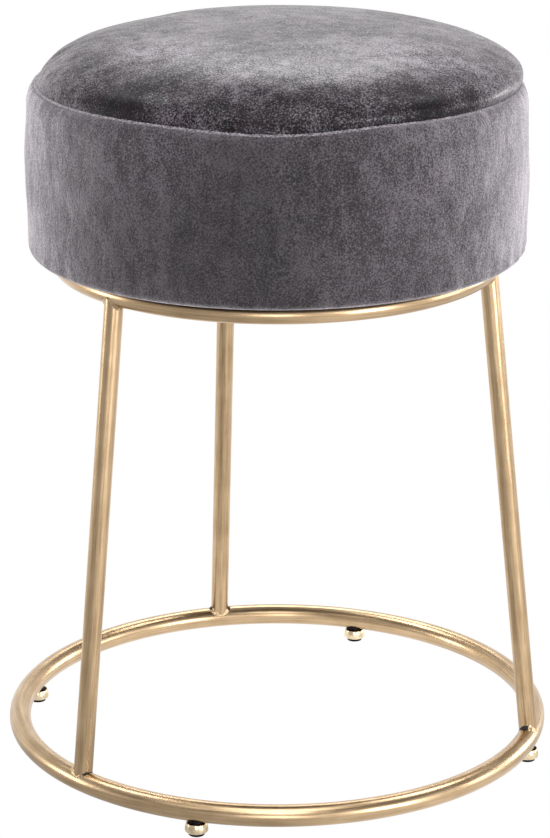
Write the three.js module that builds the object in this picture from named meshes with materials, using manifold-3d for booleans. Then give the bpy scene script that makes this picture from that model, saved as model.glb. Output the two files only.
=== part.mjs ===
// Round vanity stool: a drum seat in velvet, bolted on a welded frame of two tube rings and three legs.
// Millimetres, +Z up. The origin is on the floor, on the common axis of the rings and the seat.
// Angles are azimuths in degrees from +X towards +Y, and the front of the stool faces -Y.
import * as THREE from "three";
import { mergeVertices } from "three/addons/utils/BufferGeometryUtils.js";
import Module from "manifold-3d";

const wasm = await Module();
wasm.setup();

// Gap between two pieces that touch, and how far a cutter runs past what it cuts
const GAP = 0.3;
const OVERRUN = 4;

// Lower ring: the base on which the feet and the legs are set
const LOWER_TUBE_RADIUS = 7;
const LOWER_TUBE_WALL = 1.2;

// Upper ring: carries the seat, set in from the hem
const UPPER_RING_INSET = 20.3;
const UPPER_TUBE_RADIUS = 6;
const UPPER_TUBE_WALL = 1.2;
const RING_SPACING = 313.2;

// Legs: straight tubes, splayed from the upper ring out to the lower one and coped on both,
// with a vent hole in the ring under each end
const LEG_SPLAY = 33.4;
const LEG_RADIUS = 6;
const LEG_WALL = 1;
const VENT_RADIUS = 1.6;
const LEG_NAMES = ["rear", "front_left", "right"];
const FIRST_LEG_ANGLE = 104;

// Weld beads round both ends of each leg
const BEAD_RADIUS = 1.1;
const BEAD_RIPPLE_SHARE = 0.16;
const BEAD_RIPPLES = 10;

// Seat tabs: plates welded inside the upper ring, midway between the legs
const TAB_THICKNESS = 3;
const TAB_WIDTH = 22;
const TAB_OVERHANG = 12;
const BOLT_INSET = 23.6;
const TAB_HOLE_RADIUS = 3.6;
const TAB_NAMES = ["left", "front", "rear_right"];

// Seat bolts, washers and the tee nuts in the board
const BOLT_RADIUS = 3;
const BOLT_LENGTH = 20;
const BOLT_HEAD_RADIUS = 5.4;
const BOLT_HEAD_HEIGHT = 3.4;
const BOLT_SOCKET_RADIUS = 2.3;
const BOLT_SOCKET_DEPTH = 2;
const WASHER_RADIUS = 7;
const WASHER_THICKNESS = 1.2;
const TEE_FLANGE_RADIUS = 9.5;
const TEE_FLANGE_THICKNESS = 1.2;
const TEE_BARREL_RADIUS = 4.2;
const TEE_BARREL_LENGTH = 9;

// Levelling feet: a clinched metal cup round a threaded stem, on a black glide pad
const LEFT_FOOT_ANGLE = 163;
const REAR_FOOT_ANGLE = 71;
const RIGHT_FOOT_ANGLE = 343;
const FRONT_FOOT_ANGLE = 253;
const CUP_HEIGHT = 6.9;
const CUP_RIM_RADIUS = 6.5;
const CUP_BELLY_RADIUS = 7.35;
const CUP_BELLY_HEIGHT = 1.9;
const CUP_LIP_RADIUS = 5.2;
const CUP_WALL = 0.7;
const CUP_RING_GAP = 0.6;
const PAD_SHOWN = 1.4;
const PAD_CHAMFER = 0.4;
const PAD_FLANGE_RADIUS = 5.9;
const PAD_FLANGE_THICKNESS = 1.1;
const STEM_RADIUS = 3;
const STEM_HEAD_THICKNESS = 0.9;
const STEM_HEX_RADIUS = 4.6;
const STEM_TIP_GAP = 0.8;

// Threaded inserts: riveted in the lower ring, one for each foot
const INSERT_FLANGE_RADIUS = 5.3;
const INSERT_FLANGE_THICKNESS = 0.7;
const INSERT_WALL = 1;
const INSERT_COLLAR = 0.5;
const INSERT_COLLAR_HEIGHT = 1.6;
const INSERT_REACH = 8.5;

// Seat outline: the band, its hem, the roll at the seam and the crowned top
const HEM_RADIUS = 158.9;
const HEM_CORNER = 5.1;
const SHOULDER_INSET = 0.6;
const BAND_BELLY = 1;
const SEAM_INSET = 6.8;
const SEAM_HEIGHT = 107;
const ROLL_HEIGHT = 12.5;
const CROWN_HEIGHT = 35.7;
const CROWN_WIDTH_POWER = 2.64;
const CROWN_RISE_POWER = 2.34;

// Seat layers, from the board up to the covers
const FABRIC_THICKNESS = 1.2;
const FABRIC_MARGIN = 32;
const DUST_COVER_THICKNESS = 0.5;
const DUST_COVER_INSET = 9;
const BOARD_THICKNESS = 15;
const TOP_FOAM_BELOW_SEAM = 22;
const SEAM_THREAD_RADIUS = 0.5;

// Facets
const RING_STEPS = 48;
const TUBE_SIDES = 12;
const SEAT_STEPS = 48;
const SMALL_STEPS = 12;
const BEAD_STEPS = 20;
const BEAD_SIDES = 5;
const BEAD_FIT_ROUNDS = 30;
const CROWN_STEPS = 7;
const THREAD_SIDES = 4;
const HEXAGON_SIDES = 6;

const FULL_TURN = 360;

// Radii that follow from the sizes above
const shoulderRadius = HEM_RADIUS - SHOULDER_INSET;
const seamRadius = HEM_RADIUS - SEAM_INSET;
const upperRingRadius = HEM_RADIUS - UPPER_RING_INSET;
const lowerRingRadius = upperRingRadius + LEG_SPLAY;
const boltCircleRadius = upperRingRadius - BOLT_INSET;

// Heights that follow from the sizes above
const lowerRingZ = PAD_SHOWN + CUP_HEIGHT + CUP_RING_GAP + LOWER_TUBE_RADIUS;
const upperRingZ = lowerRingZ + RING_SPACING;
const lowerRingBottomZ = lowerRingZ - LOWER_TUBE_RADIUS;
const upperRingTopZ = upperRingZ + UPPER_TUBE_RADIUS;
const dustCoverZ = upperRingTopZ + GAP;
const hemZ = dustCoverZ + DUST_COVER_THICKNESS + GAP;
const boardZ = hemZ + FABRIC_THICKNESS + GAP;
const boardTopZ = boardZ + BOARD_THICKNESS;
const seamZ = hemZ + SEAM_HEIGHT;

// Places round the axis, as pairs of name and azimuth. The tabs lie midway between the legs.
const legPlaces = spread(LEG_NAMES, FIRST_LEG_ANGLE);
const tabPlaces = spread(TAB_NAMES, FIRST_LEG_ANGLE + FULL_TURN / LEG_NAMES.length / 2);
const footPlaces = [
  ["left", LEFT_FOOT_ANGLE],
  ["rear", REAR_FOOT_ANGLE],
  ["right", RIGHT_FOOT_ANGLE],
  ["front", FRONT_FOOT_ANGLE],
];

const LOWER_RING = { radius: lowerRingRadius, tube: LOWER_TUBE_RADIUS, z: lowerRingZ };
const UPPER_RING = { radius: upperRingRadius, tube: UPPER_TUBE_RADIUS, z: upperRingZ };

const finishes = {
  gold: new THREE.MeshStandardMaterial({ color: 0xc4a57c, metalness: 1, roughness: 0.34 }),
  weld: new THREE.MeshStandardMaterial({ color: 0xa98b62, metalness: 1, roughness: 0.5 }),
  zinc: new THREE.MeshStandardMaterial({ color: 0xb4b6b8, metalness: 1, roughness: 0.42 }),
  blackSteel: new THREE.MeshStandardMaterial({ color: 0x1d1a18, metalness: 1, roughness: 0.5 }),
  glide: new THREE.MeshStandardMaterial({ color: 0x0d0c0c, metalness: 0, roughness: 0.6 }),
  velvet: new THREE.MeshStandardMaterial({ color: 0x4d494c, metalness: 0, roughness: 0.95 }),
  thread: new THREE.MeshStandardMaterial({ color: 0x5c585b, metalness: 0, roughness: 0.8 }),
  plywood: new THREE.MeshStandardMaterial({ color: 0xc39d69, metalness: 0, roughness: 0.75 }),
  coreFoam: new THREE.MeshStandardMaterial({ color: 0xd9d2bd, metalness: 0, roughness: 0.95 }),
  topFoam: new THREE.MeshStandardMaterial({ color: 0xe9e6dc, metalness: 0, roughness: 0.95 }),
  dustCloth: new THREE.MeshStandardMaterial({ color: 0x141414, metalness: 0, roughness: 0.9 }),
};

const radians = THREE.MathUtils.degToRad;

// Places spread evenly round the axis, as pairs of name and azimuth.
function spread(names, firstAngle) {
  return names.map((name, i) => [name, firstAngle + (i / names.length) * FULL_TURN]);
}

// Points of a curve, from share 0 to share 1 of its length.
function curve(steps, pointAt) {
  return Array.from({ length: steps + 1 }, (_, i) => new THREE.Vector2(...pointAt(i / steps)));
}

// The same outline moved sideways, to its left as it runs, by a distance.
function offset(outline, distance) {
  return outline.map((point, i) => {
    const before = outline[Math.max(i - 1, 0)];
    const after = outline[Math.min(i + 1, outline.length - 1)];
    const along = after.clone().sub(before).normalize();
    return new THREE.Vector2(point.x - along.y * distance, point.y + along.x * distance);
  });
}

// A wall of one thickness on the left of an outline, closed on itself.
function walled(outline, thickness) {
  const inside = offset(outline, thickness);
  return [...outline, ...inside.reverse(), outline[0]];
}

// Pairs of radius and height as points.
function points(pairs) {
  return pairs.map(([radius, height]) => new THREE.Vector2(radius, height));
}

// The radius of a rising outline at a height.
function radiusAt(outline, height) {
  const next = outline.findIndex((point) => point.y > height);
  const [below, above] = [outline[next - 1], outline[next]];
  return THREE.MathUtils.mapLinear(height, below.y, above.y, below.x, above.x);
}

// A solid of revolution about Z from an outline of radius and height that runs round the solid anticlockwise.
function turned(outline, steps) {
  return new THREE.LatheGeometry(outline, steps).rotateX(Math.PI / 2);
}

// A solid cylinder about Z.
function rod(radius, bottom, top, sides = SMALL_STEPS) {
  const geometry = new THREE.CylinderGeometry(radius, radius, top - bottom, sides);
  return geometry.rotateX(Math.PI / 2).translate(0, 0, (top + bottom) / 2);
}

// A ring of round section about Z.
function torus(ring, tube = ring.tube, steps = RING_STEPS, sides = TUBE_SIDES) {
  return new THREE.TorusGeometry(ring.radius, tube, sides, steps).translate(0, 0, ring.z);
}

// A closed surface as a solid that can be cut and joined.
function solid(geometry) {
  const bare = geometry.clone();
  bare.deleteAttribute("normal");
  bare.deleteAttribute("uv");
  const { attributes, index } = mergeVertices(bare);
  const vertProperties = attributes.position.array;
  const triVerts = new Uint32Array(index.array);
  return new wasm.Manifold(new wasm.Mesh({ numProp: 3, vertProperties, triVerts }));
}

// The surface of a solid, as a geometry.
function surface(positions, indices) {
  const geometry = new THREE.BufferGeometry();
  geometry.setAttribute("position", new THREE.BufferAttribute(positions, 3));
  geometry.setIndex(new THREE.BufferAttribute(indices, 1));
  geometry.computeVertexNormals();
  return geometry;
}

// A geometry with other geometries cut out of it.
function cut(geometry, ...cutters) {
  const left = cutters.reduce((rest, cutter) => rest.subtract(solid(cutter)), solid(geometry));
  const { vertProperties, triVerts } = left.getMesh();
  return surface(vertProperties, triVerts);
}

// Two geometries joined as one.
function join(geometry, other) {
  const { vertProperties, triVerts } = solid(geometry).add(solid(other)).getMesh();
  return surface(vertProperties, triVerts);
}

function add(group, name, geometry, finish) {
  const mesh = new THREE.Mesh(geometry, finish);
  mesh.name = name;
  group.add(mesh);
  return mesh;
}

// A group turned about Z, in which +X points out along the azimuth.
function turnedGroup(azimuth) {
  const group = new THREE.Group();
  group.rotation.z = radians(azimuth);
  return group;
}

// A ring of the frame: a bent tube with vent holes into the legs and, on the lower ring,
// holes for the inserts.
function frameRing(ring, wall, ventSide, holes) {
  const vents = legPlaces.map(([, azimuth]) => {
    const reach = [ring.z, ring.z + ventSide * (ring.tube + OVERRUN)].sort((a, b) => a - b);
    return rod(VENT_RADIUS, ...reach).translate(ring.radius, 0, 0).rotateZ(radians(azimuth));
  });
  return cut(torus(ring), torus(ring, ring.tube - wall), ...vents, ...holes);
}

// The line of a leg, from the centre of the lower tube to the centre of the upper one, in its turned group.
function legLine() {
  const foot = new THREE.Vector3(lowerRingRadius, 0, lowerRingZ);
  const head = new THREE.Vector3(upperRingRadius, 0, upperRingZ);
  const along = head.clone().sub(foot).normalize();
  return { foot, head, along, length: head.distanceTo(foot) };
}

// A leg: a tube with both ends coped to sit on the rings.
function leg(azimuth) {
  const { foot, along, length } = legLine();
  const lean = new THREE.Quaternion().setFromUnitVectors(new THREE.Vector3(0, 0, 1), along);
  const place = new THREE.Matrix4().compose(foot, lean, new THREE.Vector3(1, 1, 1));
  const top = length - UPPER_TUBE_RADIUS / 4;
  const tube = rod(LEG_RADIUS, LOWER_TUBE_RADIUS / 4, top, TUBE_SIDES).applyMatrix4(place);
  const bore = rod(LEG_RADIUS - LEG_WALL, -OVERRUN, length + OVERRUN, TUBE_SIDES).applyMatrix4(place);
  const unturn = -radians(azimuth);
  const rings = [LOWER_RING, UPPER_RING].map((ring) => torus(ring, ring.tube + GAP).rotateZ(unturn));
  return cut(tube, bore, ...rings);
}

// A weld bead: a rippled cord of weld metal that follows the crease between a leg and a ring.
// Its centre lies where a ball of the bead's radius would rest against both tubes.
function weldBead(ring, start, along) {
  const fromLeg = LEG_RADIUS + GAP + BEAD_RADIUS * (1 + BEAD_RIPPLE_SHARE);
  const fromRing = ring.tube + GAP + BEAD_RADIUS * (1 + BEAD_RIPPLE_SHARE);
  const across = new THREE.Vector3(0, 1, 0);
  const out = new THREE.Vector3().crossVectors(across, along);
  const reach = 2 * (fromLeg + fromRing);

  const centreAt = (turn) => {
    const sideways = out.clone().multiplyScalar(Math.cos(turn)).addScaledVector(across, Math.sin(turn));
    const pointAt = (rise) => start.clone().addScaledVector(sideways, fromLeg).addScaledVector(along, rise);
    const clear = ({ x, y, z }) => Math.hypot(Math.hypot(x, y) - ring.radius, z - ring.z) >= fromRing;
    let [low, high] = [0, reach];
    for (let round = 0; round < BEAD_FIT_ROUNDS; round++) {
      const middle = (low + high) / 2;
      if (clear(pointAt(middle))) high = middle;
      else low = middle;
    }
    return { centre: pointAt(high), sideways };
  };

  const positions = [];
  const indices = [];
  for (let i = 0; i < BEAD_STEPS; i++) {
    const turn = (i / BEAD_STEPS) * 2 * Math.PI;
    const { centre, sideways } = centreAt(turn);
    const radius = BEAD_RADIUS * (1 + BEAD_RIPPLE_SHARE * Math.cos(BEAD_RIPPLES * turn));
    for (let j = 0; j < BEAD_SIDES; j++) {
      const side = (j / BEAD_SIDES) * 2 * Math.PI;
      const point = centre.clone();
      point.addScaledVector(sideways, radius * Math.cos(side));
      point.addScaledVector(along, radius * Math.sin(side));
      positions.push(...point.toArray());
      const [nextI, nextJ] = [(i + 1) % BEAD_STEPS, (j + 1) % BEAD_SIDES];
      const corners = [[i, j], [nextI, j], [nextI, nextJ], [i, nextJ]].map(([a, b]) => a * BEAD_SIDES + b);
      indices.push(corners[0], corners[1], corners[2], corners[0], corners[2], corners[3]);
    }
  }
  return surface(new Float32Array(positions), new Uint32Array(indices));
}

// A seat tab: a flat plate with a round nose and a bolt hole, its outer end coped to the ring.
function seatTab(azimuth) {
  const nose = boltCircleRadius - TAB_OVERHANG;
  const halfWidth = TAB_WIDTH / 2;
  const corner = TAB_OVERHANG / 2;
  const plate = new THREE.Shape();
  plate.moveTo(upperRingRadius, -halfWidth);
  plate.lineTo(upperRingRadius, halfWidth);
  plate.lineTo(nose + corner, halfWidth);
  plate.absarc(nose + corner, halfWidth - corner, corner, Math.PI / 2, Math.PI);
  plate.absarc(nose + corner, corner - halfWidth, corner, Math.PI, Math.PI * 1.5);
  plate.closePath();
  plate.holes.push(new THREE.Path().absarc(boltCircleRadius, 0, TAB_HOLE_RADIUS, 0, 2 * Math.PI));
  const options = { depth: TAB_THICKNESS, bevelEnabled: false, curveSegments: SMALL_STEPS / 4 };
  const geometry = new THREE.ExtrudeGeometry(plate, options).translate(0, 0, upperRingTopZ - TAB_THICKNESS);
  const ring = torus(UPPER_RING, UPPER_TUBE_RADIUS + GAP).rotateZ(-radians(azimuth));
  return cut(geometry, ring);
}

// A seat bolt: a domed head with a hexagon socket, about the local Z axis, with the top of its head at zero.
function seatBolt() {
  const dome = curve(4, (t) => [
    BOLT_HEAD_RADIUS * Math.sin((t * Math.PI) / 2),
    -BOLT_HEAD_HEIGHT * Math.cos((t * Math.PI) / 2),
  ]);
  const shank = points([
    [BOLT_RADIUS, 0],
    [BOLT_RADIUS, BOLT_LENGTH],
    [0, BOLT_LENGTH],
  ]);
  const socketTop = BOLT_SOCKET_DEPTH - BOLT_HEAD_HEIGHT;
  const socket = rod(BOLT_SOCKET_RADIUS, -BOLT_HEAD_HEIGHT - OVERRUN, socketTop, HEXAGON_SIDES);
  return cut(turned([...dome, ...shank], SMALL_STEPS), socket);
}

// A tee nut: a flange on the board and a threaded barrel down into it, with the top of the flange at zero.
function teeNut() {
  const bore = BOLT_RADIUS + GAP;
  const outline = points([
    [bore, -TEE_BARREL_LENGTH],
    [TEE_BARREL_RADIUS, -TEE_BARREL_LENGTH],
    [TEE_BARREL_RADIUS, -TEE_FLANGE_THICKNESS],
    [TEE_FLANGE_RADIUS, -TEE_FLANGE_THICKNESS],
    [TEE_FLANGE_RADIUS, 0],
    [bore, 0],
    [bore, -TEE_BARREL_LENGTH],
  ]);
  return turned(outline, SMALL_STEPS);
}

// A washer: a flat ring under a bolt head.
function washer(bottom, top) {
  const bore = BOLT_RADIUS + GAP;
  const outline = points([
    [bore, bottom],
    [WASHER_RADIUS, bottom],
    [WASHER_RADIUS, top],
    [bore, top],
    [bore, bottom],
  ]);
  return turned(outline, SMALL_STEPS);
}

// Outline of a foot's cup, from the lip under the pad, round the belly and up to the open rim.
function cupOutline() {
  const underside = curve(3, (t) => [
    CUP_LIP_RADIUS + (CUP_BELLY_RADIUS - CUP_LIP_RADIUS) * Math.sin((t * Math.PI) / 2),
    CUP_BELLY_HEIGHT * (1 - Math.cos((t * Math.PI) / 2)),
  ]);
  const side = curve(3, (t) => [
    CUP_BELLY_RADIUS - (CUP_BELLY_RADIUS - CUP_RIM_RADIUS) * t * t,
    CUP_BELLY_HEIGHT + (CUP_HEIGHT - CUP_BELLY_HEIGHT) * t,
  ]);
  return [...underside, ...side.slice(1)];
}

// Height of the lower tube's bore above its centre, at a distance to the side of the centre.
function boreHeightAt(distance) {
  const bore = LOWER_TUBE_RADIUS - LOWER_TUBE_WALL;
  return Math.sqrt(Math.max(bore ** 2 - distance ** 2, 0));
}

// Heights in a foot, from the floor up
const cupZ = PAD_SHOWN;
const padFlangeZ = cupZ + CUP_WALL + GAP;
const stemZ = padFlangeZ + PAD_FLANGE_THICKNESS + GAP;
const insertZ = lowerRingBottomZ - GAP - INSERT_FLANGE_THICKNESS;
const stemHexTopZ = insertZ - GAP;
const stemTipZ = lowerRingZ + boreHeightAt(STEM_RADIUS) - STEM_TIP_GAP;
const stemHeadRadius = CUP_RIM_RADIUS - CUP_WALL - GAP;

// A glide pad: a disc that shows under the cup, with a flange that the cup's lip holds.
function glidePad() {
  const shown = CUP_LIP_RADIUS - GAP;
  const outline = points([
    [0, 0],
    [shown - PAD_CHAMFER, 0],
    [shown, PAD_CHAMFER],
    [shown, padFlangeZ],
    [PAD_FLANGE_RADIUS, padFlangeZ],
    [PAD_FLANGE_RADIUS, padFlangeZ + PAD_FLANGE_THICKNESS],
    [0, padFlangeZ + PAD_FLANGE_THICKNESS],
  ]);
  return turned(outline, SMALL_STEPS);
}

// A stem: a round head that the cup grips, a hexagon to turn it by and a threaded stud.
function footStem() {
  const outline = points([
    [0, stemZ],
    [stemHeadRadius, stemZ],
    [stemHeadRadius, stemZ + STEM_HEAD_THICKNESS],
    [STEM_RADIUS, stemZ + STEM_HEAD_THICKNESS],
    [STEM_RADIUS, stemTipZ],
    [0, stemTipZ],
  ]);
  const hexagon = rod(STEM_HEX_RADIUS, stemZ + STEM_HEAD_THICKNESS / 2, stemHexTopZ, HEXAGON_SIDES);
  return join(turned(outline, SMALL_STEPS), hexagon);
}

// A threaded insert: a flange under the tube, a barrel through its wall and, inside,
// the collar that riveting raised.
function footInsert() {
  const bore = STEM_RADIUS + GAP;
  const barrel = bore + INSERT_WALL;
  const collar = barrel + INSERT_COLLAR;
  const flangeTop = insertZ + INSERT_FLANGE_THICKNESS;
  const top = flangeTop + INSERT_REACH;
  const collarZ = lowerRingZ - boreHeightAt(collar + GAP);
  const outline = points([
    [bore, insertZ],
    [INSERT_FLANGE_RADIUS, insertZ],
    [INSERT_FLANGE_RADIUS, flangeTop],
    [barrel, flangeTop],
    [barrel, collarZ],
    [collar, collarZ + INSERT_COLLAR],
    [collar, collarZ + INSERT_COLLAR_HEIGHT],
    [barrel, collarZ + INSERT_COLLAR_HEIGHT + INSERT_COLLAR],
    [barrel, top],
    [bore, top],
    [bore, insertZ],
  ]);
  return turned(outline, SMALL_STEPS);
}

// Outline of the band, from the raw edge under the board, round the hem and up to the seam.
function bandOutline() {
  const margin = [new THREE.Vector2(HEM_RADIUS - FABRIC_MARGIN, hemZ)];
  const hem = curve(2, (t) => [
    HEM_RADIUS - HEM_CORNER + HEM_CORNER * Math.sin((t * Math.PI) / 2),
    hemZ + HEM_CORNER * (1 - Math.cos((t * Math.PI) / 2)),
  ]);
  const wallHeight = SEAM_HEIGHT - HEM_CORNER - ROLL_HEIGHT;
  const wall = curve(3, (t) => [
    HEM_RADIUS + (shoulderRadius - HEM_RADIUS) * t + 4 * BAND_BELLY * t * (1 - t),
    hemZ + HEM_CORNER + wallHeight * t,
  ]);
  const roll = curve(3, (t) => [
    seamRadius + (shoulderRadius - seamRadius) * Math.cos((t * Math.PI) / 2),
    seamZ - ROLL_HEIGHT + ROLL_HEIGHT * Math.sin((t * Math.PI) / 2),
  ]);
  return [...margin, ...hem, ...wall.slice(1), ...roll.slice(1)];
}

// Outline of the crowned top, from the seam up to the axis: a superellipse, flat on top
// and full at the shoulder.
function crownOutline() {
  return curve(CROWN_STEPS, (t) => [
    seamRadius * Math.cos((t * Math.PI) / 2) ** (2 / CROWN_WIDTH_POWER),
    seamZ + GAP + CROWN_HEIGHT * Math.sin((t * Math.PI) / 2) ** (2 / CROWN_RISE_POWER),
  ]);
}

// The crown's outline moved in by a distance, from the seam to the axis.
function insideCrown(distance) {
  const inside = offset(crownOutline(), distance);
  inside.at(-1).x = 0;
  return inside;
}

// The top cover: one disc of velvet, drawn over the foam and sewn to the band all round.
function topCover() {
  const outside = crownOutline();
  outside.at(-1).x = 0;
  return turned([...insideCrown(FABRIC_THICKNESS).reverse(), ...outside], SEAT_STEPS);
}

// The side of the foam, inside the band.
function foamSide() {
  return offset(bandOutline(), FABRIC_THICKNESS + GAP);
}

// The firm foam block, from the board up to the joint below the seam.
function coreFoam() {
  const side = foamSide();
  const [bottomZ, topZ] = [boardTopZ + GAP, seamZ - TOP_FOAM_BELOW_SEAM];
  const outline = [
    new THREE.Vector2(0, bottomZ),
    new THREE.Vector2(radiusAt(side, bottomZ), bottomZ),
    ...side.filter((point) => point.y > bottomZ && point.y < topZ),
    new THREE.Vector2(radiusAt(side, topZ), topZ),
    new THREE.Vector2(0, topZ),
  ];
  return turned(outline, SEAT_STEPS);
}

// The soft top foam: it fills the roll of the band, passes the seam and swells under the crown.
function topFoam() {
  const side = foamSide();
  const bottomZ = seamZ - TOP_FOAM_BELOW_SEAM + GAP;
  const neck = seamRadius - FABRIC_THICKNESS - GAP;
  const roll = side.filter((point) => point.y > bottomZ && point.x > neck);
  const outline = [
    new THREE.Vector2(0, bottomZ),
    new THREE.Vector2(radiusAt(side, bottomZ), bottomZ),
    ...roll,
    new THREE.Vector2(neck, roll.at(-1).y),
    ...insideCrown(FABRIC_THICKNESS + GAP),
  ];
  return turned(outline, SEAT_STEPS);
}

// The board: round plywood with a softened lower edge, drilled and counterbored for the tee nuts.
function seatBoard() {
  const radius = HEM_RADIUS - FABRIC_THICKNESS - GAP;
  const edge = Math.max(HEM_CORNER - FABRIC_THICKNESS - GAP, GAP);
  const outline = [
    new THREE.Vector2(0, boardZ),
    ...curve(2, (t) => [
      radius - edge + edge * Math.sin((t * Math.PI) / 2),
      boardZ + edge * (1 - Math.cos((t * Math.PI) / 2)),
    ]),
    new THREE.Vector2(radius, boardTopZ),
    new THREE.Vector2(0, boardTopZ),
  ];
  const holes = tabPlaces.flatMap(([, azimuth]) => {
    const through = rod(TEE_BARREL_RADIUS + GAP, boardZ - OVERRUN, boardTopZ + OVERRUN);
    const recess = rod(TEE_FLANGE_RADIUS + GAP, boardTopZ - TEE_FLANGE_THICKNESS - GAP, boardTopZ + OVERRUN);
    return [through, recess].map((hole) => hole.translate(boltCircleRadius, 0, 0).rotateZ(radians(azimuth)));
  });
  return cut(turned(outline, SEAT_STEPS), ...holes);
}

// The dust cover: a thin cloth disc under the board, over the raw edge of the velvet.
function dustCover() {
  const disc = new THREE.Shape().absarc(0, 0, HEM_RADIUS - DUST_COVER_INSET, 0, 2 * Math.PI);
  for (const [, azimuth] of tabPlaces) {
    const centre = new THREE.Vector2(boltCircleRadius, 0).rotateAround(new THREE.Vector2(), radians(azimuth));
    disc.holes.push(new THREE.Path().absarc(centre.x, centre.y, BOLT_RADIUS + GAP, 0, 2 * Math.PI));
  }
  const options = { depth: DUST_COVER_THICKNESS, bevelEnabled: false, curveSegments: SMALL_STEPS };
  return new THREE.ExtrudeGeometry(disc, options).translate(0, 0, dustCoverZ);
}

function buildFrame() {
  const frame = new THREE.Group();
  const insertHoles = footPlaces.map(([, azimuth]) => {
    const radius = STEM_RADIUS + INSERT_WALL + 2 * GAP;
    const hole = rod(radius, lowerRingBottomZ - OVERRUN, lowerRingZ);
    return hole.translate(lowerRingRadius, 0, 0).rotateZ(radians(azimuth));
  });
  add(frame, "lower_ring", frameRing(LOWER_RING, LOWER_TUBE_WALL, 1, insertHoles), finishes.gold);
  add(frame, "upper_ring", frameRing(UPPER_RING, UPPER_TUBE_WALL, -1, []), finishes.gold);
  const { foot, head, along } = legLine();
  for (const [place, azimuth] of legPlaces) {
    const group = turnedGroup(azimuth);
    add(group, `leg_${place}`, leg(azimuth), finishes.gold);
    add(group, `weld_${place}_lower`, weldBead(LOWER_RING, foot, along), finishes.weld);
    add(group, `weld_${place}_upper`, weldBead(UPPER_RING, head, along.clone().negate()), finishes.weld);
    frame.add(group);
  }
  return frame;
}

function buildFoot(place, azimuth) {
  const side = turnedGroup(azimuth);
  const foot = new THREE.Group();
  foot.position.x = lowerRingRadius;
  add(foot, `foot_insert_${place}`, footInsert(), finishes.zinc);
  add(foot, `foot_pad_${place}`, glidePad(), finishes.glide);
  add(foot, `foot_stem_${place}`, footStem(), finishes.blackSteel);
  const cup = turned(walled(cupOutline(), CUP_WALL), SMALL_STEPS);
  add(foot, `foot_cup_${place}`, cup, finishes.gold).position.z = cupZ;
  side.add(foot);
  return side;
}

function buildSeatFixing(place, azimuth) {
  const side = turnedGroup(azimuth);
  add(side, `seat_tab_${place}`, seatTab(azimuth), finishes.gold);
  const fixing = new THREE.Group();
  fixing.position.x = boltCircleRadius;
  const washerTopZ = upperRingTopZ - TAB_THICKNESS - GAP;
  const washerZ = washerTopZ - WASHER_THICKNESS;
  add(fixing, `seat_washer_${place}`, washer(washerZ, washerTopZ), finishes.zinc);
  add(fixing, `seat_bolt_${place}`, seatBolt(), finishes.zinc).position.z = washerZ - GAP;
  add(fixing, `tee_nut_${place}`, teeNut(), finishes.zinc).position.z = boardTopZ;
  side.add(fixing);
  return side;
}

function buildSeat() {
  const seat = new THREE.Group();
  add(seat, "dust_cover", dustCover(), finishes.dustCloth);
  add(seat, "seat_board", seatBoard(), finishes.plywood);
  add(seat, "foam_core", coreFoam(), finishes.coreFoam);
  add(seat, "foam_top", topFoam(), finishes.topFoam);
  add(seat, "band_cover", turned(walled(bandOutline(), FABRIC_THICKNESS), SEAT_STEPS), finishes.velvet);
  add(seat, "top_cover", topCover(), finishes.velvet);
  const seam = {
    radius: seamRadius + GAP + SEAM_THREAD_RADIUS,
    tube: SEAM_THREAD_RADIUS,
    z: seamZ + GAP + SEAM_THREAD_RADIUS,
  };
  add(seat, "seam_thread", torus(seam, seam.tube, SEAT_STEPS, THREAD_SIDES), finishes.thread);
  return seat;
}

const stool = new THREE.Group();
stool.add(buildFrame());
for (const [place, azimuth] of footPlaces) stool.add(buildFoot(place, azimuth));
for (const [place, azimuth] of tabPlaces) stool.add(buildSeatFixing(place, azimuth));
stool.add(buildSeat());

export default stool;
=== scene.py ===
"""Round vanity stool: a drum seat in dark velvet on a welded frame of gold-plated tube.

Metres, +Z up, with the origin on the floor under the middle of the seat. The sections follow the
stool as it is put together: the frame, its feet, the seat's fixings, and the seat from board to cover.
"""

import bpy
import numpy as np
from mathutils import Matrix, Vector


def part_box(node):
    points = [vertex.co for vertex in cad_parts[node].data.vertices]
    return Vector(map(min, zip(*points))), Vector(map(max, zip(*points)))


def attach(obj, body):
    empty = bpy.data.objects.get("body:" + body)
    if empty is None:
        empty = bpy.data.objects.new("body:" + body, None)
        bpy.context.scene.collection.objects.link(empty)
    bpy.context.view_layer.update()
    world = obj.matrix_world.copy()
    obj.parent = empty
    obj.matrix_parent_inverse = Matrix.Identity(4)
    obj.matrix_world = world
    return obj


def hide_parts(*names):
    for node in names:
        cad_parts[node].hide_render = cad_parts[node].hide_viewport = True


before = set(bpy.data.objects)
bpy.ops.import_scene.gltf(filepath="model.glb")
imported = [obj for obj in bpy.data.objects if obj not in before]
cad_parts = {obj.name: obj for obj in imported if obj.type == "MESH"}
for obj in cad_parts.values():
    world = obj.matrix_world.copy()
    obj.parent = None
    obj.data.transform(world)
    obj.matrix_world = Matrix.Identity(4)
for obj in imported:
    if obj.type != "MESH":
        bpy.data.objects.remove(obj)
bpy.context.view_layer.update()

# Camera
# It stands in front of the stool, at the height of a seated person's eyes, and looks a little
# down on the seat through a long lens.
CAMERA_PLACE = (-0.0014, -1.9537, 0.8440)
CAMERA_TILT = np.radians(72.26)
CAMERA_LENS = 135.1
CAMERA_CLIP = (0.05, 50)

camera = bpy.data.objects.new("camera", bpy.data.cameras.new("camera"))
camera.data.lens = CAMERA_LENS
camera.data.clip_start, camera.data.clip_end = CAMERA_CLIP
camera.location = CAMERA_PLACE
camera.rotation_euler = (CAMERA_TILT, 0, 0)
bpy.context.scene.collection.objects.link(camera)
bpy.context.scene.camera = camera
bpy.context.scene.view_settings.view_transform = "Standard"


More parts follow.
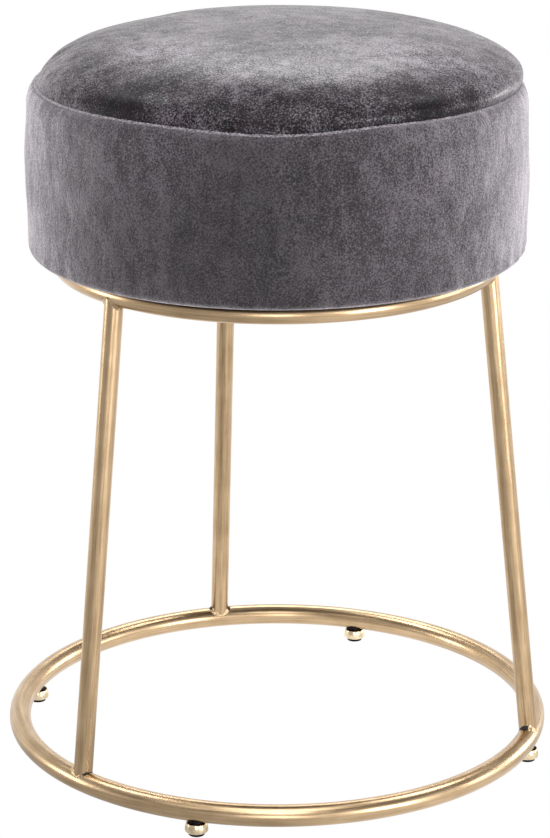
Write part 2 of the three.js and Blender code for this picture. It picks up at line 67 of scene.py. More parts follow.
# Studio
# A white sweep of floor, a white room that is darker on the camera's side, and soft square lights
# all round, each facing the seat. None of it belongs to the stool.
class Wire:
    """A socket of a finish. Arithmetic on wires and numbers adds Math nodes."""

    def __init__(self, finish, socket):
        self.finish, self.socket = finish, socket

    def maths(self, operation, *values):
        return self.finish.node("Math", {"operation": operation}, dict(enumerate(values)))

    def __add__(self, other):
        return self.maths("ADD", self, other)

    def __radd__(self, other):
        return self.maths("ADD", other, self)

    def __sub__(self, other):
        return self.maths("SUBTRACT", self, other)

    def __rsub__(self, other):
        return self.maths("SUBTRACT", other, self)

    def __mul__(self, other):
        return self.maths("MULTIPLY", self, other)

    def __rmul__(self, other):
        return self.maths("MULTIPLY", other, self)

    def __pow__(self, other):
        return self.maths("POWER", self, other)

    def between(self, low, high):
        """The value kept from low to high."""
        return self.maths("MINIMUM", self.maths("MAXIMUM", self, low), high)

    def step(self, low, high):
        """0 up to low, 1 from high on, and a straight ramp between them."""
        return ((self - low) * (1 / (high - low))).between(0, 1)


class Finish:
    """A node tree, to which node adds any kind of node."""

    def __init__(self, tree):
        self.tree = tree

    def node(self, kind, settings=None, inputs=None, output=0):
        """Adds a node: its settings first, a ramp's stops among them, then its sockets' values or wires."""
        node = self.tree.nodes.new("ShaderNode" + kind)
        for key, value in (settings or {}).items():
            setattr(node, key, value)
        self.feed(node, inputs or {})
        return Wire(self, node.outputs[output])

    def feed(self, node, inputs):
        for key, value in inputs.items():
            if isinstance(value, Wire):
                self.tree.links.new(value.socket, node.inputs[key])
            else:
                node.inputs[key].default_value = value

    def mix(self, share, first, second):
        """The first colour, turning into the second as share goes from 0 to 1."""
        colour_a, colour_b, result = 6, 7, 2
        return self.node("Mix", {"data_type": "RGBA"}, {0: share, colour_a: first, colour_b: second}, result)


class Paint(Finish):
    """The finish of a new material. Its place is where a point lies on the stool."""

    def __init__(self, name):
        self.material = bpy.data.materials.new(name)
        self.material.use_nodes = True
        super().__init__(self.material.node_tree)
        self.place = self.node("TexCoord", output="Object")

    def noise(self, scale, detail=2.0, roughness=0.5, place=None):
        """Soft random values about 0.5, with a pattern of that many cells in a metre."""
        return self.node("TexNoise", {}, {"Vector": place or self.place, "Scale": scale, "Detail": detail,
                                          "Roughness": roughness}, "Fac")

    def bump(self, height, depth):
        """A Normal from a height of 0 to 1 that stands for that depth in metres."""
        return self.node("Bump", {}, {"Height": height, "Distance": depth}, "Normal")

    def coat(self, inputs):
        """The material, once its own shader is fed."""
        self.feed(self.tree.nodes["Principled BSDF"], inputs)
        return self.material


def shade(red, green, blue):
    """A colour from its screen values of 0 to 255, as the linear colour that a shader takes."""
    screen = np.array([red, green, blue]) / 255
    linear = np.where(screen <= 0.04045, screen / 12.92, ((screen + 0.055) / 1.055) ** 2.4)
    return (*(float(value) for value in linear), 1.0)


FLOOR_HALF = 9.0
FLOOR_LEVEL = -0.0065  # just under the glides when the feet are screwed all the way out
FLOOR_PAINT = (0.75, 0.75, 0.75, 1)
FLOOR_GLOW = 0.15
SWEEP = 0.85
SWEEP_PARTS = {  # the azimuth, the height and the reach in degrees, and the change in brightness
    "front_left": (225, 0, 60, -0.2), "front_right": (315, 0, 45, 0.45), "back": (115, 0, 75, 0.5),
    "back_right": (38, 0, 50, 0.3), "high_left": (152, 58, 30, 1.9),
}
WHITE = (1, 1, 1, 1)
BLACK = (0, 0, 0, 1)


def direction_of(azimuth, height):
    """The direction of length 1 at that azimuth and height, both in radians."""
    return np.cos(height) * np.cos(azimuth), np.cos(height) * np.sin(azimuth), np.sin(height)


def sweep_light(finish, toward):
    """How bright the sweep is where metal mirrors it: its level and its parts, each full in the middle and
    gone at its reach."""
    light = SWEEP
    for *place, change in SWEEP_PARTS.values():
        azimuth, height, reach = np.radians(place)
        middle = direction_of(azimuth, height)
        closeness = finish.node("VectorMath", {"operation": "DOT_PRODUCT"}, {0: toward, 1: middle}, "Value")
        light = light + closeness.step(np.cos(reach), 1) * change
    return light


def rays(finish):
    """Two switches: 1 where the camera sees the surface itself, and 1 where something mirrors it."""
    return (finish.node("LightPath", output=ray) for ray in ("Is Camera Ray", "Is Glossy Ray"))


floor_mesh = bpy.data.meshes.new("floor")
floor_corners = [(x * FLOOR_HALF, y * FLOOR_HALF, FLOOR_LEVEL)
                 for x, y in ((-1, -1), (1, -1), (1, 1), (-1, 1))]
floor_mesh.from_pydata(floor_corners, [], [(0, 1, 2, 3)])
floor = bpy.data.objects.new("floor", floor_mesh)
bpy.context.scene.collection.objects.link(floor)

floor_paint = Paint("pale_floor")
seen, mirrored = rays(floor_paint)
floor_toward = floor_paint.node("VectorMath", {"operation": "NORMALIZE"}, {0: floor_paint.place}, "Vector")
floor_glow = FLOOR_GLOW + mirrored * (sweep_light(floor_paint, floor_toward) - FLOOR_GLOW)
glow_colour = floor_paint.node("CombineColor", {}, dict.fromkeys(range(3), floor_glow), "Color")
floor_mesh.materials.append(floor_paint.coat({
    "Base Color": floor_paint.mix((seen + mirrored).between(0, 1), FLOOR_PAINT, BLACK),
    "Roughness": 0.9, "Specular IOR Level": 0.0, "Emission Strength": 1.0,
    "Emission Color": floor_paint.mix(seen, glow_colour, WHITE),
}))

ROOM_BACK = 0.26
ROOM_FRONT = 0.16
CEILING_LOSS = 0.75

world = bpy.data.worlds.new("studio")
world.use_nodes = True
bpy.context.scene.world = world
room = Finish(world.node_tree)
direction = room.node("TexCoord", output="Generated")
toward_back = room.node("SeparateXYZ", {}, {0: direction}, "Y").step(-0.7, 0.5)
high_up = room.node("SeparateXYZ", {}, {0: direction}, "Z").step(0.35, 0.65)
seen, mirrored = rays(room)
room_light = ROOM_FRONT + toward_back * (ROOM_BACK - ROOM_FRONT)
sweep = sweep_light(room, direction) * (1 - high_up * CEILING_LOSS)
room_light = room_light + mirrored * (sweep - room_light)
room.feed(world.node_tree.nodes["Background"], {"Color": WHITE, "Strength": room_light * (1 - seen) + seen})

LIGHT_DISTANCE = 2.2
SEAT_MIDDLE = (0, 0, 0.40)
LIGHTS = {  # the azimuth and the height in degrees, the size in metres and the power in watts
    "back": (90, 40, 0.8, 13.5), "back_right": (30, 0, 0.6, 13), "right": (0, 0, 0.6, 7),
    "right_high": (22, 54, 0.7, 17), "front_right": (315, 0, 0.6, 20), "front": (270, 0, 0.6, 7.5),
    "front_middle": (270, 40, 0.8, 14), "front_high": (270, 70, 1.2, 22), "front_left": (225, 40, 0.8, 3.5),
    "left": (178, 0, 0.6, 10), "left_high": (150, 54, 0.7, 14),
}


def soft_light(name, azimuth, height, size, power):
    """A square light at that place on a sphere about the seat's middle, facing it."""
    light = bpy.data.lights.new(name + "_light", "AREA")
    light.size = size
    light.energy = power
    holder = bpy.data.objects.new(light.name, light)
    toward = Vector(direction_of(azimuth, height))
    holder.location = Vector(SEAT_MIDDLE) + toward * LIGHT_DISTANCE
    holder.rotation_euler = (-toward).to_track_quat("-Z", "Y").to_euler()
    holder.visible_camera = False
    bpy.context.scene.collection.objects.link(holder)


for light_name, (azimuth, height, size, power) in LIGHTS.items():
    soft_light(light_name, np.radians(azimuth), np.radians(height), size, power)


# Frame rings
# Two steel tubes, bent to circles and butt-welded: the base ring, and a smaller one that carries the
# seat. They are plated champagne gold and brushed along their length.
RING_COLUMNS = 384
TUBE_COLUMNS = 40
GOLD = shade(196, 170, 136)
GOLD_DARK = shade(164, 138, 106)
GRAIN_STRETCH = 0.035


def lay_surface(name, grid, wrap_rows=True, marks=None, crease=40):
    """Makes a piece from a grid of points of shape (rows, columns, 3), or from several grids at once. Each
    point is joined to the next in its row and its column. The columns wrap, and the rows wrap or end in a
    pole. Faces point out. Marks are vectors for each point of a wrapped grid, for a finish to read."""
    grids = grid.reshape(-1, *grid.shape[-3:])
    index = np.arange(grids[..., 0].size).reshape(grids.shape[:3])
    lower, upper = (index, np.roll(index, -1, 1)) if wrap_rows else (index[:, :-1], index[:, 1:])
    quads = np.stack([lower, np.roll(lower, -1, 2), np.roll(upper, -1, 2), upper], -1).reshape(-1, 4)
    points = grids.reshape(-1, 3)
    fans = np.empty((0, 3), int)
    if not wrap_rows:
        start, end = index[:, 0], index[:, -1]
        first = np.broadcast_to(len(points) + np.arange(len(grids))[:, None], start.shape)
        fans = np.concatenate([np.stack([np.roll(start, -1, 1), start, first], -1),
                               np.stack([end, np.roll(end, -1, 1), first + len(grids)], -1)]).reshape(-1, 3)
        points = np.vstack([points, grids[:, 0].mean(1), grids[:, -1].mean(1)])
    a, b, c, d = (points[quads[:, corner]] for corner in range(4))
    e, f, g = (points[fans[:, corner]] for corner in range(3))
    volume = (np.einsum("ij,ij", a, np.cross(b, c)) + np.einsum("ij,ij", a, np.cross(c, d))
              + np.einsum("ij,ij", e, np.cross(f, g)))
    if volume < 0:
        quads, fans = quads[:, ::-1], fans[:, ::-1]
    mesh = bpy.data.meshes.new(name)
    mesh.from_pydata(points, [], quads.tolist() + fans.tolist())
    mesh.shade_smooth()
    mesh.set_sharp_from_angle(angle=np.radians(crease))
    for mark, vectors in (marks or {}).items():
        mesh.attributes.new(mark, "FLOAT_VECTOR", "POINT").data.foreach_set("vector", vectors.ravel())
    piece = bpy.data.objects.new(name, mesh)
    bpy.context.scene.collection.objects.link(piece)
    return piece


def fit(piece, material, body, slot, *nodes):
    """Gives a piece its material, sets it on its body, and lets it stand for its nodes."""
    piece.data.materials.clear()
    piece.data.materials.append(material)
    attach(piece, body)
    if nodes:
        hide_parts(*nodes)
    return piece


def turns(columns):
    """Even angles round a circle, without the last one, which is the first again."""
    return np.arange(columns) / columns * 2 * np.pi


def turned_grid(radius, height, turn):
    """The points (r cos, r sin, z) of outlines that stand round the axis, one outline to a column."""
    radius, height, turn = np.broadcast_arrays(radius, height, turn)
    return np.stack([radius * np.cos(turn), radius * np.sin(turn), height], -1)


def ring_sizes(node):
    """The radius of a ring's centre line, the radius of its tube and its height, from its box."""
    low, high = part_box(node)
    tube = (high[2] - low[2]) / 2
    return high[0] - tube, tube, low[2] + tube


def bent_tube(name):
    """A tube bent to a circle: r = R + t cos(section), z = Z + t sin(section), turned round the axis. Its
    grain is the place in the section, drifting slowly as it runs round, so that streaks follow the tube."""
    radius, tube, height = ring_sizes(name)
    turn, section = np.meshgrid(turns(RING_COLUMNS), turns(TUBE_COLUMNS), indexing="ij")
    grid = turned_grid(radius + tube * np.cos(section), height + tube * np.sin(section), turn)
    grain = np.stack([tube * np.cos(section) + GRAIN_STRETCH * grid[..., 0],
                      tube * np.sin(section) + GRAIN_STRETCH * grid[..., 1], np.full(turn.shape, radius)], -1)
    return lay_surface(name + "_tube", grid, marks={"grain": grain})


def gold_plate():
    """Brushed gold plate: streaks along the grain darken it, roughen it and are cut into it."""
    paint = Paint("brushed_gold")
    grain = paint.node("Attribute", {"attribute_name": "grain"}, output="Vector")
    streaks, patches = paint.noise(900, 3, 0.6, grain), paint.noise(55)
    return paint.coat({
        "Base Color": paint.mix((streaks * 0.7 + patches * 0.3).step(0.36, 0.64), GOLD_DARK, GOLD),
        "Roughness": 0.29 + (streaks - 0.5) * 0.1,
        "Metallic": 1.0,
        "Normal": paint.bump(streaks, 0.000007),
    })


tube_gold = gold_plate()
for ring in ("lower_ring", "upper_ring"):
    fit(bent_tube(ring), tube_gold, "stool", "gold_tube", ring)

# Legs
# Three straight tubes of the same plated steel. Both ends are coped to saddle the rings, and
# they lean out from the seat ring to the base ring.
LEGS = ("rear", "front_left", "right")
LEG_RADIUS = 0.006
LEG_WALL = 0.001
LEG_SEATING = 0.0002
LEG_COLUMNS = 48
LEG_ROWS = 24
FIT_ROUNDS = 40
ACROSS = np.array([0, 1.0, 0])


def azimuth_of(node):
    """The whole degree at which a node lies round the axis, in radians, from the middle of its box."""
    low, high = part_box(node)
    return np.radians(np.round(np.degrees(np.arctan2(low[1] + high[1], low[0] + high[0]))))


def turned(points, azimuth):
    """Points turned round the axis, from +X to an azimuth."""
    x, y, z = points[..., 0], points[..., 1], points[..., 2]
    cos, sin = np.cos(azimuth), np.sin(azimuth)
    return np.stack([x * cos - y * sin, x * sin + y * cos, z], -1)


def leg_line():
    """Where a leg's centre line starts and ends, on the centre lines of the two tubes, and its direction."""
    (low_radius, _, low_height), (high_radius, _, high_height) = map(ring_sizes, ("lower_ring", "upper_ring"))
    foot, head = np.array([low_radius, 0, low_height]), np.array([high_radius, 0, high_height])
    return foot, head, (head - foot) / np.linalg.norm(head - foot)


def meeting(ring, start, along, distance, gap, turn):
    """The points that lie that distance from a leg's centre line, at each angle round it, and that gap off
    a ring's tube. Each is found by halving the stretch of the leg in which it must lie."""
    radius, tube, height = ring_sizes(ring)
    out = np.cross(ACROSS, along)
    side = out * np.cos(turn)[..., None] + ACROSS * np.sin(turn)[..., None]
    low, high = np.zeros(turn.shape), np.full(turn.shape, 4 * (LEG_RADIUS + tube))
    start = start + side * distance[..., None]
    for _ in range(FIT_ROUNDS):
        middle = (low + high) / 2
        x, y, z = np.moveaxis(start + along * middle[..., None], -1, 0)
        clear = np.hypot(np.hypot(x, y) - radius, z - height) >= tube + gap
        low, high = np.where(clear, low, middle), np.where(clear, middle, high)
    return start + along * high[..., None], side


def leg_tube(name):
    """A coped tube: its wall's outer face up, and its bore down, each a straight run between the lines where
    that face meets the two rings."""
    foot, head, along = leg_line()
    turn = turns(LEG_COLUMNS)
    rows = []
    for distance in (LEG_RADIUS, LEG_RADIUS - LEG_WALL):
        reach = np.full(turn.shape, distance)
        bottom, _ = meeting("lower_ring", foot, along, reach, LEG_SEATING, turn)
        top, _ = meeting("upper_ring", head, -along, reach, LEG_SEATING, -turn + np.pi)
        share = np.linspace(0, 1, LEG_ROWS)[:, None, None]
        rows.append(bottom * (1 - share) + top * share)
    grid = np.vstack([rows[0], rows[1][::-1]])
    drift = (grid - foot) @ along
    grain = grid - foot - drift[..., None] * along * (1 - GRAIN_STRETCH)
    azimuth = azimuth_of(name)
    return lay_surface(name + "_tube", turned(grid, azimuth), marks={"grain": grain + azimuth})


for leg in LEGS:
    fit(leg_tube(f"leg_{leg}"), tube_gold, "stool", "gold_tube", f"leg_{leg}")

# Welds
# Weld metal fills the crease round each end of a leg. It is dressed to a smooth fillet and plated with
# the tubes, heavier on one side. The pits where a run starts and stops are painted black as shade.
WELD_BALL = 0.0021
WELD_SWELL = 0.00025
WELD_COLUMNS = 240
WELD_SECTION = 10
WELD_PIT_WIDTH = 0.34
WELD_PIT_SHRINK = 0.25
WELD_UNEVEN = 0.1
WELD_ROOT_SHARE = 0.45
WELD_ROOT = 0.0003
WELD_SIDES = {  # the heavy side of each run and how heavy, and its pits, as angles round the leg
    "rear_lower": (3.1, 0.45, (1.7, 4.3)), "front_left_lower": (5.5, 0.75, (1.0, 1.5, 2.0)),
    "right_lower": (5.6, 0.45, (4.1, 4.75)), "rear_upper": (0.4, 0.45, (2.2,)),
    "front_left_upper": (2.9, 0.45, (1.3, 4.9)), "right_upper": (0.3, 0.45, (2.2, 5.3)),
}


def wander(angle, counts, seed):
    """A closed wave of about 1 either way: cosines of each whole count round the circle, at seeded phases."""
    counts = np.arange(*counts)
    phases = np.random.default_rng(seed).uniform(0, 2 * np.pi, counts.size)
    return np.cos(angle[..., None] * counts + phases).sum(-1) / np.sqrt(counts.size)


def bump_at(angle, centre, width):
    """1 at a centre angle, falling off to each side as exp(-(distance / width) squared)."""
    away = np.angle(np.exp(1j * (angle - centre)))
    return np.exp(-(away / width) ** 2)


def unit(vectors):
    """Vectors at length 1."""
    return vectors / np.linalg.norm(vectors, axis=-1, keepdims=True)


def weld_run(name, end, seed):
    """The metal that a ball leaves, rolled round the crease. The ball's centre keeps its radius off both
    tubes, and the skin is its arc from the one tube to the other, raised a little in ripples. The section
    closes inside the tubes. The ball is larger on the heavy side and smaller at a pit."""
    foot, head, leg_along = leg_line()
    start, along = (foot, leg_along) if end == "lower" else (head, -leg_along)
    heavy, swing, pits = WELD_SIDES[name]
    turn = turns(WELD_COLUMNS)
    shaded_pits = np.clip(sum(bump_at(turn, pit, WELD_PIT_WIDTH) for pit in pits), 0, 1)
    uneven = 1 + swing * np.cos(turn - heavy) + WELD_UNEVEN * wander(turn, (3, 9), seed)
    ball = WELD_BALL * uneven * (1 - WELD_PIT_SHRINK * shaded_pits)
    crease, side = meeting(f"{end}_ring", start, along, np.full(turn.shape, LEG_RADIUS), 0, turn)
    centre, _ = meeting(f"{end}_ring", start, along, LEG_RADIUS + ball, ball, turn)
    radius, _, height = ring_sizes(f"{end}_ring")
    inward = 1 - radius / np.hypot(centre[:, 0], centre[:, 1])
    off_ring = unit(np.stack([centre[:, 0] * inward, centre[:, 1] * inward, centre[:, 2] - height], -1))
    share = np.linspace(0, 1, WELD_SECTION)[:, None]
    toward = unit(-side[:, None] * (1 - share) - off_ring[:, None] * share)
    skin = centre[:, None] + toward * ball[:, None, None]
    outward = unit(centre - crease)[:, None]
    ripples = (1 + 0.4 * wander(turn, (18, 34), seed + 1)) * (1 - shaded_pits)
    lift = WELD_SWELL * ripples[:, None, None] * np.sin(np.pi * share) ** 0.7
    depth = WELD_ROOT_SHARE * ball[:, None, None] + WELD_ROOT
    grid = np.concatenate([skin + outward * lift, (skin - outward * depth)[:, ::-1]], 1)
    painted_pit_shade = np.broadcast_to(shaded_pits[:, None, None], grid.shape)
    leg = "leg_" + name.removesuffix("_" + end)
    return lay_surface(f"weld_{name}_run", turned(grid, azimuth_of(leg)), marks={"painted_pit_shade": painted_pit_shade})


def weld_plate():
    """Gold plate over weld metal: a little rougher than the tube, finely pitted, and painted black as shade
    in the marked pits.
    """
    paint = Paint("plated_weld")
    pits, clouds = paint.noise(2200, 3, 0.65), paint.noise(450)
    shaded_pits = paint.node("Attribute", {"attribute_name": "painted_pit_shade"}, output="Fac").step(0.35, 0.6)
    skin = paint.mix((pits * 0.4 + clouds * 0.6).step(0.36, 0.56), GOLD_DARK, GOLD)
    return paint.coat({
        # Painted shade: the marked pits are painted near black and are not metal.
        "Base Color": paint.mix(shaded_pits, skin, shade(12, 9, 7)),
        "Roughness": 0.33 + (pits - 0.5) * 0.25 + shaded_pits * 0.4,
        "Metallic": 1 - shaded_pits,
        "Normal": paint.bump(pits, 0.00006),
    })


weld_gold = weld_plate()
for number, (joint, end) in enumerate((f"{leg}_{end}", end) for leg in LEGS for end in ("lower", "upper")):
    fit(weld_run(joint, end, number * 7), weld_gold, "stool", "weld", f"weld_{joint}")

# Levelling feet
# Each foot is a black nylon glide, clinched into a gold-plated pressed cup with the head of an M6
# stem. The stem screws into a black insert that is riveted in the base ring.
FEET = ("left", "rear", "right", "front")
FOOT_COLUMNS = 72
THREAD_PITCH = 0.001
THREAD_DEPTH = 0.00055
THREAD_ROWS = 12
STEM_RADIUS = 0.003
STEM_HEAD_RADIUS = 0.0055
STEM_HEAD_THICKNESS = 0.0009
STEM_HEX = 0.0046
CUP_WALL = 0.0007
CUP_RIM_RADIUS = 0.0065
CUP_BELLY_RADIUS = 0.00735
CUP_BELLY_HEIGHT = 0.0019
CUP_LIP_RADIUS = 0.0052
CUP_LIP_LIFT = 0.0004
CUP_CLINCH = 0.0001
HEX_CHAMFER = 0.0004
HEX_NECK = 0.0013
PAD_CENTRE = 0.0004
PAD_FLANGE_THICKNESS = 0.0011
INSERT_FLANGE = 0.0007
INSERT_WALL = 0.001
INSERT_BREAK = 0.0003
COLLAR_DROP = 0.0045
COLLAR_SWELL = 0.0005
COLLAR_HEIGHT = 0.0021
BORE_CLEARANCE = 0.0003
SOFT_EDGE = 0.0002
AXIS_GAP = 0.0003
PIECE_GAP = 0.0003


def rounded(corners, radius, steps=6):
    """An outline through corners of (r, z), with each corner but the first and last turned on an arc: the
    points of a quadratic curve from one side of the corner to the other."""
    corners = np.array(corners, float)
    before, here, after = corners[:-2], corners[1:-1], corners[2:]
    back, on = before - here, after - here
    longest_cut = np.minimum(np.linalg.norm(back, axis=1), np.linalg.norm(on, axis=1)) * 0.45
    cut = np.minimum(radius, longest_cut)[:, None]
    first, last = (here + unit(away) * cut for away in (back, on))
    share = np.linspace(0, 1, steps)[None, :, None]
    arcs = (first[:, None] * (1 - share) ** 2 + here[:, None] * 2 * share * (1 - share)
            + last[:, None] * share ** 2)
    return np.vstack([corners[:1], arcs.reshape(-1, 2), corners[-1:]])


def middle_of(node):
    """The place of a node's upright centre line, at height 0."""
    low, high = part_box(node)
    return np.array([(low[0] + high[0]) / 2, (low[1] + high[1]) / 2, 0])


def ringed(rows, turn):
    """The points of rings round the axis. A ring's radius and height are one number or one for each angle."""
    radius, height = (np.vstack([np.broadcast_to(row[side], turn.size) for row in rows]) for side in (0, 1))
    return turned_grid(radius, height, turn)


def lathe(name, node, outline, **options):
    """A solid of revolution about a node's centre line."""
    return lay_surface(name, ringed(outline, turns(FOOT_COLUMNS)) + middle_of(node), **options)


def hexagon(turn, across_corners):
    """The radius of a hexagon at an angle, with the corners just softened."""
    flat = across_corners * np.cos(np.pi / 6)
    return np.minimum(flat / np.cos((turn % (np.pi / 3)) - np.pi / 6), across_corners * 0.985)


def threaded(turn, height, bottom, top):
    """The radius of a screw thread: it falls from crest to root and back once in each pitch, and the
    pattern climbs one pitch in a turn. It fades into a plain cone at its tip."""
    phase = ((height - bottom) / THREAD_PITCH - turn / (2 * np.pi)) % 1
    tip = np.clip((top - height) / THREAD_PITCH, 0, 1)
    crest = STEM_RADIUS - THREAD_DEPTH * (1 - tip)
    return crest - THREAD_DEPTH * np.abs(2 * phase - 1) * tip


def stud(turn, bottom, top, undercut=0.0):
    """The rings of a threaded stud, which starts above its undercut."""
    heights = np.arange(bottom + undercut, top, THREAD_PITCH / THREAD_ROWS)
    return [(threaded(turn, height, bottom, top), height) for height in heights]


def foot_stem(foot):
    """The stem, from its round head up: a disc, a hexagon to turn it by, and a threaded stud."""
    node = f"foot_stem_{foot}"
    low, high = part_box(node)
    hex_bottom, hex_top = low[2] + STEM_HEAD_THICKNESS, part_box(f"foot_insert_{foot}")[0][2] - PIECE_GAP
    head = rounded([(AXIS_GAP, low[2]), (STEM_HEAD_RADIUS, low[2]), (STEM_HEAD_RADIUS, hex_bottom),
                    (STEM_HEX, hex_bottom)], SOFT_EDGE)
    turn = turns(FOOT_COLUMNS)
    side = hexagon(turn, STEM_HEX)
    rows = [*head, (side, hex_bottom), (side, hex_top - PIECE_GAP), (side - HEX_CHAMFER, hex_top),
            (side - HEX_NECK, hex_top), *stud(turn, hex_top, high[2])]
    return lay_surface(node + "_screw", ringed(rows, turn) + middle_of(node), wrap_rows=False)


def foot_cup(foot):
    """The pressed cup: a quarter ellipse from the clinched lip to the belly, then a parabola in to the rim.
    The wall turns over at both ends in half a circle."""
    node = f"foot_cup_{foot}"
    low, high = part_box(node)
    share = np.linspace(0, 1, 14)
    under = np.stack([CUP_LIP_RADIUS + (CUP_BELLY_RADIUS - CUP_LIP_RADIUS) * np.sin(share * np.pi / 2),
                      CUP_BELLY_HEIGHT - (CUP_BELLY_HEIGHT - CUP_LIP_LIFT) * np.cos(share * np.pi / 2)], -1)
    side_height = high[2] - low[2] - CUP_BELLY_HEIGHT - CUP_WALL / 2
    side = np.stack([CUP_BELLY_RADIUS - (CUP_BELLY_RADIUS - CUP_RIM_RADIUS) * share ** 2,
                     CUP_BELLY_HEIGHT + side_height * share], -1)
    outline = np.vstack([under, side[1:]])
    along = unit(np.gradient(outline, axis=0))
    inside = outline + np.stack([-along[:, 1], along[:, 0]], -1) * CUP_WALL
    bend = np.linspace(0, np.pi, 9)[1:-1, None]
    ends = (outline[-1], inside[-1], along[-1]), (inside[0], outline[0], -along[0])
    rolled = [(end_a + end_b) / 2 + (end_a - end_b) / 2 * np.cos(bend) + on * CUP_WALL / 2 * np.sin(bend)
              for end_a, end_b, on in ends]
    loop = np.vstack([outline, rolled[0], inside[::-1], rolled[1]])
    loop[:, 1] = np.maximum(loop[:, 1], 0) + low[2]
    return lathe(node + "_shell", node, loop)


def foot_pad(foot):
    """The glide: a disc with a soft lower edge, and the flange that the cup's lip holds."""
    node = f"foot_pad_{foot}"
    low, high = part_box(node)
    centre, shown, flange = PAD_CENTRE, CUP_LIP_RADIUS - CUP_CLINCH, high[0] - middle_of(node)[0]
    flange_bottom = high[2] - PAD_FLANGE_THICKNESS
    outline = rounded([(centre, 0), (shown, 0), (shown, flange_bottom), (flange, flange_bottom),
                       (flange, high[2]), (centre, high[2])], SOFT_EDGE)
    return lathe(node + "_glide", node, outline, wrap_rows=False)


def foot_insert(foot):
    """The threaded insert: a flange under the tube, a barrel up through it, and the collar that riveting
    raised inside the tube."""
    node = f"foot_insert_{foot}"
    low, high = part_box(node)
    flange = high[0] - middle_of(node)[0]
    bore = STEM_RADIUS + BORE_CLEARANCE
    barrel, flange_top = bore + INSERT_WALL, low[2] + INSERT_FLANGE
    start, swollen = high[2] - COLLAR_DROP, barrel + COLLAR_SWELL
    end = start + COLLAR_HEIGHT
    loop = rounded([(bore, low[2] + SOFT_EDGE), (bore + SOFT_EDGE, low[2]), (flange, low[2]),
                    (flange, flange_top), (barrel, flange_top), (barrel, start),
                    (swollen, start + COLLAR_SWELL), (swollen, end - COLLAR_SWELL), (barrel, end),
                    (barrel, high[2]), (bore, high[2]), (bore, high[2] - INSERT_BREAK)], SOFT_EDGE, 4)
    return lathe(node + "_rivet", node, loop)


def mottled(name, spot, colour, noise, ramp, roughness, depth, spread=None, **constants):
    """A fine uneven skin of two close colours. One noise mixes them, stands out from the piece and, given a
    spread, varies its roughness."""
    paint = Paint(name)
    skin = paint.noise(*noise)
    return paint.coat({
        "Base Color": paint.mix(skin.step(*ramp), spot, colour), "Normal": paint.bump(skin, depth),
        "Roughness": roughness + (skin - 0.5) * spread if spread else roughness, **constants})


def plain_metal(name, colour, spot, roughness, scale, depth):
    """Plated or blackened steel."""
    return mottled(name, spot, colour, (scale, 3, 0.6), (0.35, 0.65), roughness, depth, 0.2, Metallic=1.0)


def moulded_nylon():
    """Black nylon: a fine moulded grain, scuffed paler on the face that slides on the floor."""
    paint = Paint("black_nylon")
    grain, scuffs = paint.noise(3000), paint.noise(700, 4, 0.7)
    low_down = 1 - paint.node("SeparateXYZ", {}, {0: paint.place}, "Z").step(0.0, 0.0004)
    worn = scuffs.step(0.5, 0.62) * low_down
    return paint.coat({
        "Base Color": paint.mix(worn, shade(6, 5, 5), shade(24, 23, 22)),
        "Roughness": 0.5 + (grain - 0.5) * 0.2 + worn * 0.2,
        "Specular IOR Level": 0.08,
        "Normal": paint.bump(grain, 0.00004),
    })


cup_gold = plain_metal("pressed_gold", shade(238, 220, 188), shade(198, 178, 144), 0.27, 300, 0.00003)
black_steel = plain_metal("black_oxide", shade(46, 40, 42), shade(24, 20, 22), 0.42, 1800, 0.00003)
nylon = moulded_nylon()
for foot in FEET:
    fit(foot_insert(foot), black_steel, "stool", "black_steel", f"foot_insert_{foot}")
    fit(foot_pad(foot), nylon, f"glide_{foot}", "glide_plastic", f"foot_pad_{foot}")
    fit(foot_stem(foot), black_steel, f"screw_{foot}", "black_steel", f"foot_stem_{foot}")
    fit(foot_cup(foot), cup_gold, f"screw_{foot}", "gold_cup", f"foot_cup_{foot}")

# Seat tabs
# Three flat steel plates are welded inside the seat ring, midway between the legs. Each is coped to
# the tube, has a round nose and a hole for a bolt, and is plated with the frame.
TABS = ("rear_right", "left", "front")
TAB_COLUMNS = 160
TAB_NOSE_POWER = 3.4
TAB_SIDE_POWER = 30
TAB_NOSE_REACH = 0.012
TAB_HALF_WIDTH = 0.011
TAB_HOLE = 0.0036
TAB_EDGE = 0.0004
TAB_WELD = 0.0016
TAB_WELD_SINK = 0.35
TAB_WELD_HALF = 0.0095
TAB_WELD_UNEVEN = 0.12
TAB_WELD_WAVES = 26
TAB_WELD_TIP = 0.00005


def seat_tab(tab):
    """A plate with a hole. Its outline is a power curve |x/a|^p + |y/b|^p = 1 about the hole on the nose
    side, straight sides, and the line of the ring's tube at the other end. Rows run round its thickness."""
    node = f"seat_tab_{tab}"
    radius, tube, height = ring_sizes("upper_ring")
    bottom, top = (corner[2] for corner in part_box(node))
    hole_x = np.hypot(*middle_of(f"seat_bolt_{tab}")[:2])
    turn = turns(TAB_COLUMNS)
    cos, sin, nose = np.cos(turn), np.sin(turn), np.cos(turn) < 0
    power = np.where(nose, TAB_NOSE_POWER, TAB_SIDE_POWER)
    length = np.where(nose, TAB_NOSE_REACH, radius - hole_x)
    edge = (np.abs(cos / length) ** power + np.abs(sin / TAB_HALF_WIDTH) ** power) ** (-1 / power)
    levels = (TAB_EDGE, bottom), (0, bottom + TAB_EDGE), (0, top - TAB_EDGE), (TAB_EDGE, top)
    rows = [(edge - inset, z) for inset, z in levels] + [(TAB_HOLE + inset, z) for inset, z in levels[::-1]]
    grid = ringed(rows, turn) + np.array([hole_x, 0, 0])
    cope = radius - np.sqrt(np.maximum((tube - LEG_SEATING) ** 2 - (grid[..., 2] - height) ** 2, 0))
    grid[..., 0] = np.minimum(grid[..., 0], np.sqrt(cope ** 2 - grid[..., 1] ** 2))
    return lay_surface(node + "_plate", turned(grid, azimuth_of(node)), crease=30)


